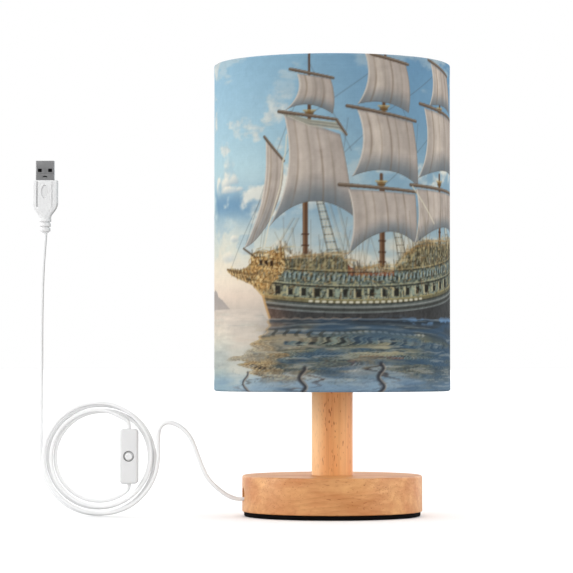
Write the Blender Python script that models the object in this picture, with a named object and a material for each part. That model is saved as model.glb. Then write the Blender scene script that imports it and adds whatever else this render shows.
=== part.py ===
"""Small bedside table lamp: turned wooden base and post, drum shade of printed fabric on a wire
frame, screw-in LED bulb, and a USB cable with an in-line push switch, wound into a flat coil.

Units are metres, +Z is up, the origin is on the lamp's axis at the underside of the base pad.
The lamp's axis is Z. The front faces -Y and the cable leaves the base towards -X.
Sizes below are millimetres. Profiles are (radius, height) points, turned about Z.
"""

import math

import bmesh
import bpy
from mathutils import Matrix, Vector

MM = 0.001
GAP = 0.3                                # clearance between neighbouring pieces

# ---------------------------------------------------------------- driving dimensions
PAD_RADIUS, PAD_TOP = 56.9, 2.5
BASE_RADIUS, BASE_BOTTOM, BASE_TOP = 58.1, PAD_TOP + GAP, 26.2
RECESS_RADIUS, RECESS_TOP = 22.0, 17.0   # pocket under the base for the nut
POST_SEAT_RADIUS, POST_SEAT_Z = 13.65, 23.1    # shallow socket that the post stands in
POST_RADIUS, POST_BOTTOM, POST_TOP = 13.3, POST_SEAT_Z + GAP, 105.0
BORE_RADIUS = 5.4                        # bore of base and post for the threaded tube
FASTENER_BORE_RADIUS = 5.3
OUTLET_DIRECTION = math.radians(190.0)   # of the cable hole in the base's side, from +X
OUTLET_RADIUS, OUTLET_Z = 4.5, 13.9

HOLDER_BOTTOM, HOLDER_SPLIT, HOLDER_TOP = 105.4, 119.0, 157.0
LAMP_THREAD_PITCH, LAMP_THREAD_DEPTH = 3.629, 0.45     # E27; the depth is to either side

SHADE_RADIUS, SHADE_BOTTOM, SHADE_TOP = 76.3, 80.3, 290.8
FABRIC_THICKNESS, LINER_THICKNESS = 0.55, 0.40

CABLE_RADIUS = 1.15
CABLE_Y = -10.3                          # plane of the cable's outlet and of the switch
CABLE_Z = 11.1                           # height of the cable where it leaves the base
LAYER_FRONT, LAYER_BACK = -11.6, -9.0    # Y planes of the coil's two windings
COIL_X, COIL_Z = -150.1, 37.65           # centre of the coil
SWITCH_X, SWITCH_Z = COIL_X + 19.6, COIL_Z + 0.9
PLUG_X, PLUG_Y = -185.0, LAYER_BACK

# ---------------------------------------------------------------- scene and materials
for old in list(bpy.data.objects):
    bpy.data.objects.remove(old, do_unlink=True)

# finish: (base colour, roughness, metallic)
FINISHES = {
    "beech": ((0.72, 0.43, 0.23), 0.5, 0.0),
    "black_foam": ((0.012, 0.012, 0.012), 0.8, 0.0),
    "shade_fabric": ((0.32, 0.46, 0.60), 0.85, 0.0),
    "liner": ((0.85, 0.84, 0.80), 0.6, 0.0),
    "wire": ((0.82, 0.82, 0.80), 0.4, 0.3),
    "holder": ((0.86, 0.86, 0.84), 0.4, 0.0),
    "porcelain": ((0.88, 0.87, 0.84), 0.3, 0.0),
    "brass": ((0.75, 0.55, 0.25), 0.35, 1.0),
    "steel": ((0.62, 0.62, 0.62), 0.35, 1.0),
    "bulb_white": ((0.90, 0.90, 0.88), 0.4, 0.0),
    "bulb_frost": ((0.93, 0.92, 0.88), 0.5, 0.0),
    "black_glass": ((0.02, 0.02, 0.02), 0.2, 0.0),
    "board": ((0.05, 0.22, 0.10), 0.5, 0.0),
    "cable_white": ((0.90, 0.90, 0.90), 0.45, 0.0),
    "switch_white": ((0.80, 0.80, 0.80), 0.45, 0.0),
    "button_white": ((0.86, 0.86, 0.86), 0.4, 0.0),
    "usb_steel": ((0.36, 0.36, 0.36), 0.35, 1.0),
    "usb_black": ((0.03, 0.03, 0.03), 0.4, 0.0),
    "gold": ((0.83, 0.62, 0.24), 0.3, 1.0),
    "wire_red": ((0.45, 0.03, 0.03), 0.4, 0.0),
    "wire_black": ((0.03, 0.03, 0.03), 0.4, 0.0),
}


def material(finish, name):
    colour, roughness, metallic = FINISHES[finish]
    made = bpy.data.materials.new(name + "_" + finish)
    made.use_nodes = True
    shader = made.node_tree.nodes["Principled BSDF"]
    shader.inputs["Base Color"].default_value = (*colour, 1.0)
    shader.inputs["Roughness"].default_value = roughness
    shader.inputs["Metallic"].default_value = metallic
    made.diffuse_color = (*colour, 1.0)
    return made


# ---------------------------------------------------------------- placing objects
def place(name, mesh, at):
    """Makes an object at a place from a mesh in millimetres about its own origin."""
    mesh.name = name
    mesh.transform(Matrix.Scale(MM, 4))
    obj = bpy.data.objects.new(name, mesh)
    obj.location = Vector(at) * MM
    bpy.context.scene.collection.objects.link(obj)
    return obj


def add(name, mesh, finish, at=(0, 0, 0), sharp_angle=30.0):
    """A visible piece: smooth up to the sharp angle in degrees, or flat if that is None."""
    obj = place(name, mesh, at)
    mesh.materials.append(material(finish, name))
    if sharp_angle is not None:
        mesh.shade_smooth()
        mesh.set_sharp_from_angle(angle=math.radians(sharp_angle))
    return obj


def add_cutter(name, mesh, at):
    obj = place(name, mesh, at)
    obj.hide_render = True
    obj.display_type = "WIRE"
    return obj


def cut(target, *cutters):
    for n, cutter in enumerate(cutters):
        modifier = target.modifiers.new(f"difference_{n}", "BOOLEAN")
        modifier.operation = "DIFFERENCE"
        modifier.object = cutter
        modifier.solver = "EXACT"


# ---------------------------------------------------------------- mesh shapes
def finished(shape):
    """Turns a bmesh into a mesh, with its seams merged and its normals outward."""
    bmesh.ops.remove_doubles(shape, verts=shape.verts, dist=1e-5)
    bmesh.ops.recalc_face_normals(shape, faces=shape.faces)
    mesh = bpy.data.meshes.new("mesh")
    shape.to_mesh(mesh)
    shape.free()
    return mesh


def turned(profile, steps):
    """A closed profile spun about Z. Points on the axis close the solid there."""
    shape = bmesh.new()
    points = [shape.verts.new((radius, 0.0, z)) for radius, z in profile]
    edges = []
    for i, point in enumerate(points):
        k = (i + 1) % len(points)
        if profile[i][0] == 0.0 and profile[k][0] == 0.0:
            continue                     # the axis itself is not a surface
        edges.append(shape.edges.new((point, points[k])))
    bmesh.ops.spin(shape, geom=points + edges, cent=(0, 0, 0), axis=(0, 0, 1),
                   angle=2 * math.pi, steps=steps, use_duplicate=False)
    return finished(shape)


def sleeve(inner, outer, bottom, top, steps):
    """A plain tube about Z, or a disc if the inner radius is 0."""
    return turned([(inner, bottom), (outer, bottom), (outer, top), (inner, top)], steps)


def torus(ring_radius, wire_radius, steps, sides=6):
    angles = [2 * math.pi * k / sides for k in range(sides)]
    return turned([(ring_radius + wire_radius * math.cos(angle), wire_radius * math.sin(angle))
                   for angle in angles], steps)


def block(size, bevel=0.0, segments=1, upright_only=False):
    """A box about the origin, with all its edges bevelled or only those along Z."""
    shape = bmesh.new()
    bmesh.ops.create_cube(shape, size=1.0)
    bmesh.ops.scale(shape, vec=size, verts=shape.verts)
    if bevel:
        chosen = [edge for edge in shape.edges
                  if not upright_only or abs(edge.verts[0].co.z - edge.verts[1].co.z) > 1e-6]
        bmesh.ops.bevel(shape, geom=chosen, offset=bevel, segments=segments, profile=0.5,
                        affect="EDGES")
    return finished(shape)


Z_TO_AXIS = {
    "x": Matrix.Rotation(math.pi / 2, 3, "Y"),
    "y": Matrix.Rotation(-math.pi / 2, 3, "X"),
    "z": Matrix.Identity(3),
}


def cylinder(radius, length, steps, axis="z"):
    """A cylinder about the origin along an axis."""
    shape = bmesh.new()
    bmesh.ops.create_cone(shape, cap_ends=True, segments=steps, radius1=radius, radius2=radius,
                          depth=length)
    bmesh.ops.rotate(shape, cent=(0, 0, 0), matrix=Z_TO_AXIS[axis], verts=shape.verts)
    return finished(shape)


def prism(outline, depth):
    """An outline of (x, z) points extruded along Y, centred on Y = 0."""
    shape = bmesh.new()
    face = shape.faces.new([shape.verts.new((x, -depth / 2, z)) for x, z in outline])
    extruded = bmesh.ops.extrude_face_region(shape, geom=[face])["geom"]
    bmesh.ops.translate(shape, vec=(0, depth, 0),
                        verts=[part for part in extruded if isinstance(part, bmesh.types.BMVert)])
    return finished(shape)


def bridge(shape, loops):
    """Joins each loop of vertices to the next with quads."""
    for first, second in zip(loops, loops[1:]):
        for i in range(len(first)):
            k = (i + 1) % len(first)
            shape.faces.new((first[i], first[k], second[k], second[i]))


def threaded(thread_radius, bottom, top, plain_radius):
    """A thread-rolled sleeve: one wall carries the round right-handed thread, which runs out at
    both ends, and the other is plain. The thread is inside when the plain wall is the larger."""
    runout = 1.2
    around, rings_per_pitch = 18, 4
    toward_plain = 1.0 if plain_radius > thread_radius else -1.0
    rings = round((top - bottom) / LAMP_THREAD_PITCH * rings_per_pitch)
    angles = [2 * math.pi * i / around for i in range(around)]
    shape = bmesh.new()

    def circle(z, radii):
        return [shape.verts.new((radius * math.cos(angle), radius * math.sin(angle), z))
                for radius, angle in zip(radii, angles)]

    rows = []
    for j in range(rings + 1):
        z = bottom + (top - bottom) * j / rings
        fade = min(1.0, (z - bottom) / runout, (top - z) / runout)
        phase = 2 * math.pi * z / LAMP_THREAD_PITCH
        rows.append(circle(z, [
            thread_radius + LAMP_THREAD_DEPTH * (toward_plain * (1 - fade)
                                                 + fade * math.cos(phase - angle))
            for angle in angles]))
    plain_bottom, plain_top = (circle(z, [plain_radius] * around) for z in (bottom, top))
    bridge(shape, rows + [plain_top, plain_bottom, rows[0]])
    return finished(shape)


# ---------------------------------------------------------------- cables and wires
def smooth_path(knots, step):
    """A Catmull-Rom curve through the knots, resampled at about one step."""
    knots = [Vector(knot) for knot in knots]
    ends = [2 * knots[0] - knots[1]] + knots + [2 * knots[-1] - knots[-2]]
    fine = []
    for before, start, end, after in zip(ends, ends[1:], ends[2:], ends[3:]):
        for i in range(12):
            t = i / 12
            fine.append(0.5 * ((2 * start) + (end - before) * t
                               + (2 * before - 5 * start + 4 * end - after) * t * t
                               + (3 * start - before - 3 * end + after) * t ** 3))
    fine.append(knots[-1])
    lengths = [0.0]
    for start, end in zip(fine, fine[1:]):
        lengths.append(lengths[-1] + (end - start).length)
    count = round(lengths[-1] / step)
    path, j = [], 0
    for i in range(count + 1):
        wanted = lengths[-1] * i / count
        while j < len(lengths) - 2 and lengths[j + 1] < wanted:
            j += 1
        share = (wanted - lengths[j]) / (lengths[j + 1] - lengths[j])
        path.append(fine[j].lerp(fine[j + 1], share))
    return path


def add_wire(name, knots, step, radius, finish):
    """A round cable or wire through the knots: a curve with a round bevel and closed ends."""
    points = smooth_path(knots, step)
    curve = bpy.data.curves.new(name, "CURVE")
    curve.dimensions = "3D"
    curve.twist_mode = "MINIMUM"
    curve.bevel_depth = radius * MM
    curve.bevel_resolution = 1
    curve.use_fill_caps = True
    spline = curve.splines.new("POLY")
    spline.points.add(len(points) - 1)
    for spline_point, (x, y, z) in zip(spline.points, points):
        spline_point.co = (x * MM, y * MM, z * MM, 1.0)
    spline.use_smooth = True
    obj = bpy.data.objects.new(name, curve)
    bpy.context.scene.collection.objects.link(obj)
    curve.materials.append(material(finish, name))


# ---------------------------------------------------------------- base, post and their fastening
BASE_PROFILE = [
    (RECESS_RADIUS, BASE_BOTTOM), (BASE_RADIUS - 0.9, BASE_BOTTOM),
    (BASE_RADIUS, BASE_BOTTOM + 0.9), (BASE_RADIUS, BASE_TOP - 1.5),
    (BASE_RADIUS - 0.45, BASE_TOP - 0.45), (BASE_RADIUS - 1.5, BASE_TOP),
    (POST_SEAT_RADIUS, BASE_TOP), (POST_SEAT_RADIUS, POST_SEAT_Z),
    (BORE_RADIUS, POST_SEAT_Z), (BORE_RADIUS, RECESS_TOP), (RECESS_RADIUS, RECESS_TOP),
]
PAD_CHAMFER, POST_CHAMFER = 0.5, 0.8
OUTLET_CUTTER_LENGTH, OUTLET_CUTTER_OFFSET = 60.0, 40.0    # offset of its middle from the axis
NUT_RADIUS, NUT_BOTTOM, NUT_TOP = 9.2, 10.4, 15.1          # radius over the corners

base = add("base_disc", turned(BASE_PROFILE, 56), "beech")
outlet = cylinder(OUTLET_RADIUS, OUTLET_CUTTER_LENGTH, 20, axis="x")
outlet.transform(Matrix.Rotation(OUTLET_DIRECTION, 4, "Z")
                 @ Matrix.Translation((OUTLET_CUTTER_OFFSET, 0, 0)))
cut(base, add_cutter("outlet_cutter", outlet, (0, 0, OUTLET_Z)))

add("base_pad", turned([
    (0.0, 0.0), (PAD_RADIUS - PAD_CHAMFER, 0.0), (PAD_RADIUS, PAD_CHAMFER),
    (PAD_RADIUS, PAD_TOP), (0.0, PAD_TOP)], 48), "black_foam")
add("post", turned([
    (BORE_RADIUS, POST_BOTTOM), (POST_RADIUS, POST_BOTTOM),
    (POST_RADIUS, POST_TOP - POST_CHAMFER), (POST_RADIUS - POST_CHAMFER, POST_TOP),
    (BORE_RADIUS, POST_TOP)], 32), "beech")
add("threaded_tube", sleeve(3.9, 4.95, 8.6, 110.6, steps=16), "steel")
add("base_washer", sleeve(FASTENER_BORE_RADIUS, 9.6, NUT_TOP + GAP, RECESS_TOP - GAP, steps=18),
    "steel")

# Six steps make the nut's hexagon; the bore is widened by the cutter.
nut = add("base_nut", sleeve(2.0, NUT_RADIUS, NUT_BOTTOM, NUT_TOP, steps=6), "steel",
          sharp_angle=None)
cut(nut, add_cutter("nut_bore_cutter", cylinder(FASTENER_BORE_RADIUS, 10.0, 16), (0, 0, 12.7)))

# ---------------------------------------------------------------- lampholder
HOLDER_RADIUS = 19.5
CAP_PROFILE = [
    (5.25, HOLDER_BOTTOM), (12.4, HOLDER_BOTTOM), (16.4, 107.6), (18.9, 111.6),
    (HOLDER_RADIUS, 115.0), (HOLDER_RADIUS, HOLDER_SPLIT), (17.3, HOLDER_SPLIT),
    (17.2, 113.4), (15.2, 110.2), (12.0, 109.0), (5.25, 109.0),
]
SKIRT_BORE_RADIUS = 16.9
SKIRT_CREST, SKIRT_ROOT = 19.3, 18.7     # radii of the thread-like grooves for the shade ring
SKIRT_GROOVES, SKIRT_GROOVE_Z, SKIRT_GROOVE_PITCH = 4, 128.6, 5.6
# radius, height above the start of the groove
SKIRT_GROOVE = [(SKIRT_CREST, 1.0), (SKIRT_ROOT, 2.4), (SKIRT_ROOT, 3.2), (SKIRT_CREST, 4.6)]

add("lampholder_cap", turned(CAP_PROFILE, 24), "holder")
skirt = [(SKIRT_BORE_RADIUS, HOLDER_SPLIT + GAP), (HOLDER_RADIUS, HOLDER_SPLIT + GAP),
         (19.7, 123.4), (22.2, 124.2), (22.2, 127.0), (SKIRT_CREST, 127.2)]
for k in range(SKIRT_GROOVES):
    skirt += [(radius, SKIRT_GROOVE_Z + SKIRT_GROOVE_PITCH * k + rise)
              for radius, rise in SKIRT_GROOVE]
skirt += [(SKIRT_CREST, 156.2), (SKIRT_ROOT, HOLDER_TOP), (SKIRT_BORE_RADIUS, HOLDER_TOP)]
add("lampholder_skirt", turned(skirt, 24), "holder")

# ---------------------------------------------------------------- lamp socket
CORE_BOTTOM, CORE_TOP = 121.2, 131.0
SOCKET_RADIUS = 15.0                     # outside of the brass shell
SEAT_TOP = 136.7
TERMINAL_X = 9.5                         # the terminals stand at plus and minus this
CENTRE_CONTACT = [                       # x, z
    (-7.0, 131.3), (-3.0, 131.3), (3.4, 133.1), (5.0, 132.7),
    (5.0, 133.2), (3.4, 133.65), (-3.2, 131.85), (-7.0, 131.85),
]
TERMINAL_SCREW_PROFILE = [
    (0.0, 117.7), (2.2, 117.7), (2.7, 118.3), (2.7, 119.4), (1.4, 119.6), (1.4, 125.2),
    (0.0, 125.2),
]
LIVE_WIRE_KNOTS = [
    (-0.62, 0, 113.4), (-1.6, 0, 115.2), (-4.2, 0, 116.4), (-6.6, 0.6, 117.4),
    (-6.2, 2.6, 119.2), (-7.0, 3.2, 120.2),
]

core = add("socket_core", sleeve(2.4, 16.5, CORE_BOTTOM, CORE_TOP, steps=20), "porcelain")
cut(core, *[add_cutter(f"terminal_seat_cutter_{k}", cylinder(1.9, 8.0, 10),
                       (TERMINAL_X * side, 0, 122.0)) for k, side in enumerate((-1, 1))])
add("socket_shell", threaded(13.25, SEAT_TOP + GAP, 154.6, SOCKET_RADIUS), "brass",
    sharp_angle=50)
add("socket_shell_seat", sleeve(13.6, SOCKET_RADIUS, CORE_TOP + GAP, SEAT_TOP, steps=18), "brass")
add("socket_centre_contact", prism(CENTRE_CONTACT, depth=5.0), "brass", sharp_angle=None)
for label, side in (("left", -1), ("right", 1)):
    add(f"terminal_screw_{label}", turned(TERMINAL_SCREW_PROFILE, 10), "brass",
        at=(TERMINAL_X * side, 0, 0))

# The return wire is the live wire turned half way round the axis.
for label, finish, side in (("live", "wire_red", 1), ("return", "wire_black", -1)):
    add_wire(f"wire_{label}", [(side * x, side * y, z) for x, y, z in LIVE_WIRE_KNOTS],
             step=1.6, radius=0.55, finish=finish)

# ---------------------------------------------------------------- shade
LINER_INSET = 0.6                        # of the liner's ends from the fabric's
FRAME_RADIUS, FRAME_WIRE_RADIUS = 73.2, 1.5
FRAME_INSET = 2.2                        # of the ring wires from the shade's ends
COLLAR_INNER, COLLAR_OUTER, COLLAR_BOTTOM, COLLAR_TOP = 20.2, 26.0, 127.5, 129.1
ARM_RADIUS, ARM_COUNT = 1.4, 3
ARM_START_Z = (COLLAR_BOTTOM + COLLAR_TOP) / 2
ARM_KNOTS = [                            # distance from the axis, height
    (COLLAR_OUTER + GAP, ARM_START_Z), (34.0, ARM_START_Z - 0.6), (46.0, ARM_START_Z - 8.0),
    (57.0, 103.0), (64.0, 88.0), (67.5, SHADE_BOTTOM + 2.8),
    (FRAME_RADIUS - FRAME_WIRE_RADIUS - GAP, SHADE_BOTTOM + FRAME_INSET),
]
SHADE_RING_PROFILE = [
    (19.75, 129.4), (25.0, 129.4), (25.0, 131.6), (23.2, 132.6), (23.2, 138.4), (22.4, 139.2),
    (19.75, 139.2),
]

fabric_inner = SHADE_RADIUS - FABRIC_THICKNESS
liner_outer = fabric_inner - GAP
add("shade_fabric", sleeve(fabric_inner, SHADE_RADIUS, SHADE_BOTTOM, SHADE_TOP, steps=60),
    "shade_fabric")
add("shade_liner", sleeve(liner_outer - LINER_THICKNESS, liner_outer,
                          SHADE_BOTTOM + LINER_INSET, SHADE_TOP - LINER_INSET, steps=60), "liner")
for label, z in (("top", SHADE_TOP - FRAME_INSET), ("bottom", SHADE_BOTTOM + FRAME_INSET)):
    add(f"shade_{label}_wire", torus(FRAME_RADIUS, FRAME_WIRE_RADIUS, 44), "wire", at=(0, 0, z))
add("spider_collar", sleeve(COLLAR_INNER, COLLAR_OUTER, COLLAR_BOTTOM, COLLAR_TOP, steps=28),
    "wire")
for k in range(ARM_COUNT):
    angle = math.radians(90 + 360 / ARM_COUNT * k)
    add_wire(f"spider_arm_{k + 1}", [(reach * math.cos(angle), reach * math.sin(angle), z)
                                     for reach, z in ARM_KNOTS],
             step=5.0, radius=ARM_RADIUS, finish="wire")
add("shade_ring", turned(SHADE_RING_PROFILE, 24), "holder")

# ---------------------------------------------------------------- bulb
TIP_TOP, INSULATOR_TOP, BULB_CAP_TOP, HOUSING_TOP = 136.0, 141.2, 158.0, 182.0
TIP_PROFILE = [(0.0, 134.3), (3.2, 134.3), (4.9, 135.2), (4.9, TIP_TOP), (0.0, TIP_TOP)]
INSULATOR_PROFILE = [
    (0.0, TIP_TOP + GAP), (5.4, TIP_TOP + GAP), (10.9, 140.2), (10.9, INSULATOR_TOP),
    (0.0, INSULATOR_TOP),
]
HOUSING_PROFILE = [
    (11.6, BULB_CAP_TOP + GAP), (13.4, BULB_CAP_TOP + GAP), (13.9, 162.0), (15.6, 168.0),
    (17.2, 175.0), (18.0, HOUSING_TOP), (16.4, HOUSING_TOP), (15.7, 176.0), (14.1, 169.0),
    (12.4, 163.0),
]
DOME_RADIUS, DOME_Z, DOME_RISE = 19.2, 196.0, 30.0     # elliptical top of the diffuser
DOME_TOP = DOME_Z + DOME_RISE
DIFFUSER_WALL, DIFFUSER_TOP_WALL = 1.3, 1.4
WALL_TAPER_RADIUS = 6.0                  # the sideways wall fades out inside this radius
TOP_WALL_START_Z = 190.0                 # the top wall builds up from this height


def diffuser_inside(radius, z):
    """The point inside the diffuser's wall that faces a point of its outer profile."""
    rise = max(0.0, z - TOP_WALL_START_Z) / (DOME_TOP - TOP_WALL_START_Z)
    return (radius - DIFFUSER_WALL * min(1.0, radius / WALL_TAPER_RADIUS),
            z - DIFFUSER_TOP_WALL * rise)


add("bulb_tip_contact", turned(TIP_PROFILE, 14), "brass")
add("bulb_cap_insulator", turned(INSULATOR_PROFILE, 16), "black_glass")
add("bulb_cap_shell", threaded(12.75, INSULATOR_TOP + GAP, BULB_CAP_TOP, 11.3), "steel",
    sharp_angle=50)
add("bulb_driver_board", block((15.0, 1.4, 26.0)), "board", at=(0, 0, 156.0), sharp_angle=None)
add("bulb_housing", turned(HOUSING_PROFILE, 24), "bulb_white")
add("bulb_led_board", sleeve(0.0, 15.5, 178.6, 180.0, steps=20), "board")

dome = [(18.0, HOUSING_TOP + GAP), (19.0, 188.0), (DOME_RADIUS, DOME_Z)]
for k in range(1, 6):
    angle = math.radians(15 * k)
    dome.append((DOME_RADIUS * math.cos(angle), DOME_Z + DOME_RISE * math.sin(angle)))
dome.append((0.0, DOME_TOP))
dome += [diffuser_inside(radius, z) for radius, z in reversed(dome)]
add("bulb_diffuser", turned(dome, 24), "bulb_frost")

# ---------------------------------------------------------------- cable
SPLIT_X, SPLIT_HALF_GAP = -58.65, 0.15   # between the inner cable and the lamp side
BEND_Z, BEND_HALF_GAP = 80.0, 0.7        # between the plug side and the plug lead
INNER_KNOTS = [                          # down the post, then out through the base
    (0.0, 0.0, 112.4), (0.0, 0.0, 60.0), (0.0, 0.0, 24.0), (0.0, 0.0, 12.0), (-0.5, 0.0, 8.0),
    (-2.8, -0.4, 5.2), (-6.0, -1.0, 5.1), (-10.0, -1.8, 6.9), (-14.5, -2.6, 9.8),
    (-19.5, -3.5, 11.1), (-34.0, -6.2, CABLE_Z), (-46.0, -8.9, CABLE_Z),
    (-52.0, -9.9, CABLE_Z), (SPLIT_X + SPLIT_HALF_GAP, CABLE_Y, CABLE_Z),
]
BASE_TO_COIL = [                         # x, z from the base over to the coil
    (SPLIT_X - SPLIT_HALF_GAP, CABLE_Z), (-60.6, CABLE_Z + 0.06), (-64.0, 12.0), (-68.4, 14.1),
    (-73.0, 17.5), (-77.7, 21.9), (-81.3, 27.0), (-84.5, 34.2), (-87.2, 41.4), (-90.6, 49.6),
    (-94.8, 55.1), (-99.6, 58.7), (-104.9, 60.3), (-108.7, 59.2), (-111.0, 56.2),
    (-111.7, 51.4), (-111.7, 44.0),
]
LAYER_SHIFT_KNOTS = 8.0                  # knots over which the cable moves to the front layer

# Windings: angle in degrees from +X towards +Z, radius.
# The lamp side runs clockwise seen from the front, in the front layer.
LAMP_WINDING = [
    (0, 38.4), (-45, 37.3), (-90, 35.9), (-135, 35.4), (-180, 35.3), (-270, 35.2),
    (-315, 34.6), (-360, 33.7), (-405, 32.6), (-450, 31.6), (-495, 31.0), (-540, 30.6),
    (-630, 30.4), (-660, 30.0),
]
# The plug side runs counter-clockwise seen from the front, in the back layer.
PLUG_WINDING = [
    (180, 37.4), (225, 36.9), (270, 36.2), (315, 36.0), (360, 35.9), (405, 35.0), (450, 33.6),
    (495, 33.0), (540, 32.9), (585, 32.6), (630, 32.2), (675, 32.2), (720, 32.7), (757, 32.7),
    (785, 31.3), (815, 29.3), (855, 28.3), (900, 28.1), (990, 27.9), (1022, 28.1),
]
WINDING_EASE = 0.35                      # share of easing in the steps between listed radii
RUN_X = COIL_X - PLUG_WINDING[0][1]      # upright run beside the coil
PLUG_LEAD = [                            # x, z
    (RUN_X, BEND_Z + BEND_HALF_GAP), (RUN_X, 100.0), (RUN_X, 122.0), (-187.2, 142.0),
    (-186.6, 160.0), (-185.7, 173.0), (-185.1, 182.0), (PLUG_X, 190.0), (PLUG_X, 200.0),
]


def ease(share):
    return share * share * (3 - 2 * share)


def coil_radius(table, angle):
    """Radius of a winding at an angle, partly eased between the listed ones."""
    for (angle_a, radius_a), (angle_b, radius_b) in zip(table, table[1:]):
        if min(angle_a, angle_b) <= angle <= max(angle_a, angle_b):
            share = (angle - angle_a) / (angle_b - angle_a)
            share = ease(share) * WINDING_EASE + share * (1 - WINDING_EASE)
            return radius_a + (radius_b - radius_a) * share


def winding(table, angles, y):
    knots = []
    for degrees in angles:
        radius, angle = coil_radius(table, degrees), math.radians(degrees)
        knots.append((COIL_X + radius * math.cos(angle), y, COIL_Z + radius * math.sin(angle)))
    return knots


def switch_entry(layer_y, end, heights):
    """Knots from a layer into the switch's upper (end = 1) or lower (end = -1) end.
    The heights of the first two knots are from the switch's middle."""
    shifts = (-1.5, -0.25, 0.0, 0.0)
    planes = (layer_y + 0.5 * end, CABLE_Y - 0.25 * end, CABLE_Y, CABLE_Y)
    return [(SWITCH_X + shift, y, SWITCH_Z + end * height)
            for shift, y, height in zip(shifts, planes, (*heights, 18.4, 13.0))]


def add_cable(name, knots, step):
    add_wire(name, knots, step, CABLE_RADIUS, "cable_white")


add_cable("cable_lamp_inner", INNER_KNOTS, step=4.5)
tie = torus(2.35, 0.8, 12)
tie.transform(Matrix.Rotation(math.pi / 2, 4, "Y"))
add("cable_tie", tie, "usb_black", at=(-18.0, -3.2, 10.9))

lamp_knots = [
    (x, CABLE_Y + (LAYER_FRONT - CABLE_Y) * ease(min(1.0, i / LAYER_SHIFT_KNOTS)), z)
    for i, (x, z) in enumerate(BASE_TO_COIL)]
lamp_knots += winding(LAMP_WINDING, range(0, -656, -15), LAYER_FRONT)
lamp_knots += switch_entry(LAYER_FRONT, 1, heights=(22.9, 20.4))
add_cable("cable_lamp_side", lamp_knots, step=6.5)

plug_knots = [(RUN_X, LAYER_BACK, z) for z in (BEND_Z - BEND_HALF_GAP, 66.0, 52.0)]
plug_knots += winding(PLUG_WINDING, range(180, 1021, 15), LAYER_BACK)
plug_knots += switch_entry(LAYER_BACK, -1, heights=(22.2, 20.2))
add_cable("cable_plug_side", plug_knots, step=6.5)

add_cable("cable_plug_lead", [(x, PLUG_Y, z) for x, z in PLUG_LEAD], step=8.0)

# ---------------------------------------------------------------- in-line switch
SWITCH_WIDTH, SWITCH_DEPTH, SWITCH_LENGTH = 11.7, 9.6, 35.5    # along X, Y and Z
SWITCH_WALL = 1.3
HALF_DEPTH = SWITCH_DEPTH / 2
PARTING = 0.12                           # of each half from the parting plane
CASE_SCREW_Z = 11.5                      # above and below the switch's middle
BUTTON_HOLE_RADIUS, BUTTON_RADIUS = 3.4, 2.45
BUTTON_PROFILE = [
    (0.0, 0.0), (BUTTON_RADIUS - 0.5, 0.0), (BUTTON_RADIUS, 0.45), (BUTTON_RADIUS, 1.9),
    (3.1, 2.0), (3.1, 2.9), (1.2, 3.0), (1.2, 3.6), (0.0, 3.6),
]


def at_switch(y=0.0, z=0.0):
    """A place given from the switch's middle."""
    return (SWITCH_X, CABLE_Y + y, SWITCH_Z + z)


def switch_half(name, side, extra_cutters):
    """One rounded half of the case, open at the parting plane: side -1 is front, 1 is rear."""
    case_size = (SWITCH_WIDTH, SWITCH_DEPTH, SWITCH_LENGTH)
    room_size = [size - 2 * SWITCH_WALL for size in case_size]
    case = add(name, block(case_size, 1.6, 2), "switch_white", at=at_switch())
    room = add_cutter(name + "_room_cutter", block(room_size, 0.8), at_switch())
    other_side = add_cutter(name + "_side_cutter", block((40.0, 20.0, 60.0)),
                            at_switch(y=-side * (10.0 - PARTING)))
    entry = add_cutter(name + "_entry_cutter", cylinder(CABLE_RADIUS + 0.45, 60.0, 16),
                       at_switch())
    cut(case, room, other_side, entry, *extra_cutters)


switch_half("switch_case_front", -1, [
    add_cutter("button_hole_cutter", cylinder(BUTTON_HOLE_RADIUS, 6.0, 18, axis="y"),
               at_switch(y=-HALF_DEPTH))])
switch_half("switch_case_rear", 1, [
    add_cutter(f"screw_hole_cutter_{k}", cylinder(1.5, 6.0, 14, axis="y"),
               at_switch(y=HALF_DEPTH, z=z))
    for k, z in enumerate((-CASE_SCREW_Z, CASE_SCREW_Z))])

z_to_y = Z_TO_AXIS["y"].to_4x4()
button = turned(BUTTON_PROFILE, 16)
button.transform(z_to_y)                 # the cap faces -Y
add("switch_button", button, "button_white", at=at_switch(y=-HALF_DEPTH - 0.35))
add("switch_module", block((8.0, 2.6, 8.0), 0.3), "usb_black", at=at_switch(y=1.15),
    sharp_angle=None)
add("switch_board", block((7.2, 0.8, 24.0)), "board", at=at_switch(y=3.0), sharp_angle=None)
for label, z in (("lower", -CASE_SCREW_Z), ("upper", CASE_SCREW_Z)):
    screw = sleeve(0.0, 1.15, 0.0, 0.9, steps=12)
    screw.transform(z_to_y)
    add(f"switch_screw_{label}", screw, "steel", at=at_switch(y=HALF_DEPTH - 1.1, z=z))

# ---------------------------------------------------------------- USB plug, pointing up
GRIP_FACE_Z, GRIP_ORIGIN_Z = 216.1, 200.0
USB_WIDTH, USB_DEPTH, USB_WALL = 12.0, 4.5, 0.32
USB_BOTTOM, USB_TIP_Z = 209.0, 228.7
USB_LENGTH = USB_TIP_Z - USB_BOTTOM
CONTACT_PITCH = 2.3
# width, depth, corner exponent (1 is an ellipse, less is squarer), distance below the face
GRIP_SECTIONS = [
    (16.0, 8.0, 0.45, 0.0), (16.6, 8.6, 0.45, 0.6), (16.6, 8.6, 0.45, 13.8),
    (15.2, 8.4, 0.5, 15.8), (10.4, 7.6, 0.75, 19.6), (8.0, 7.0, 1.0, 21.8),
    (7.4, 6.8, 1.0, 23.8),
]
# Bend relief rib: narrowing of the diameter, distance below the rib's start
RIB_STATIONS = [(0.0, 0.1), (0.0, 2.0), (1.5, 2.2), (1.5, 2.8)]


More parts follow.
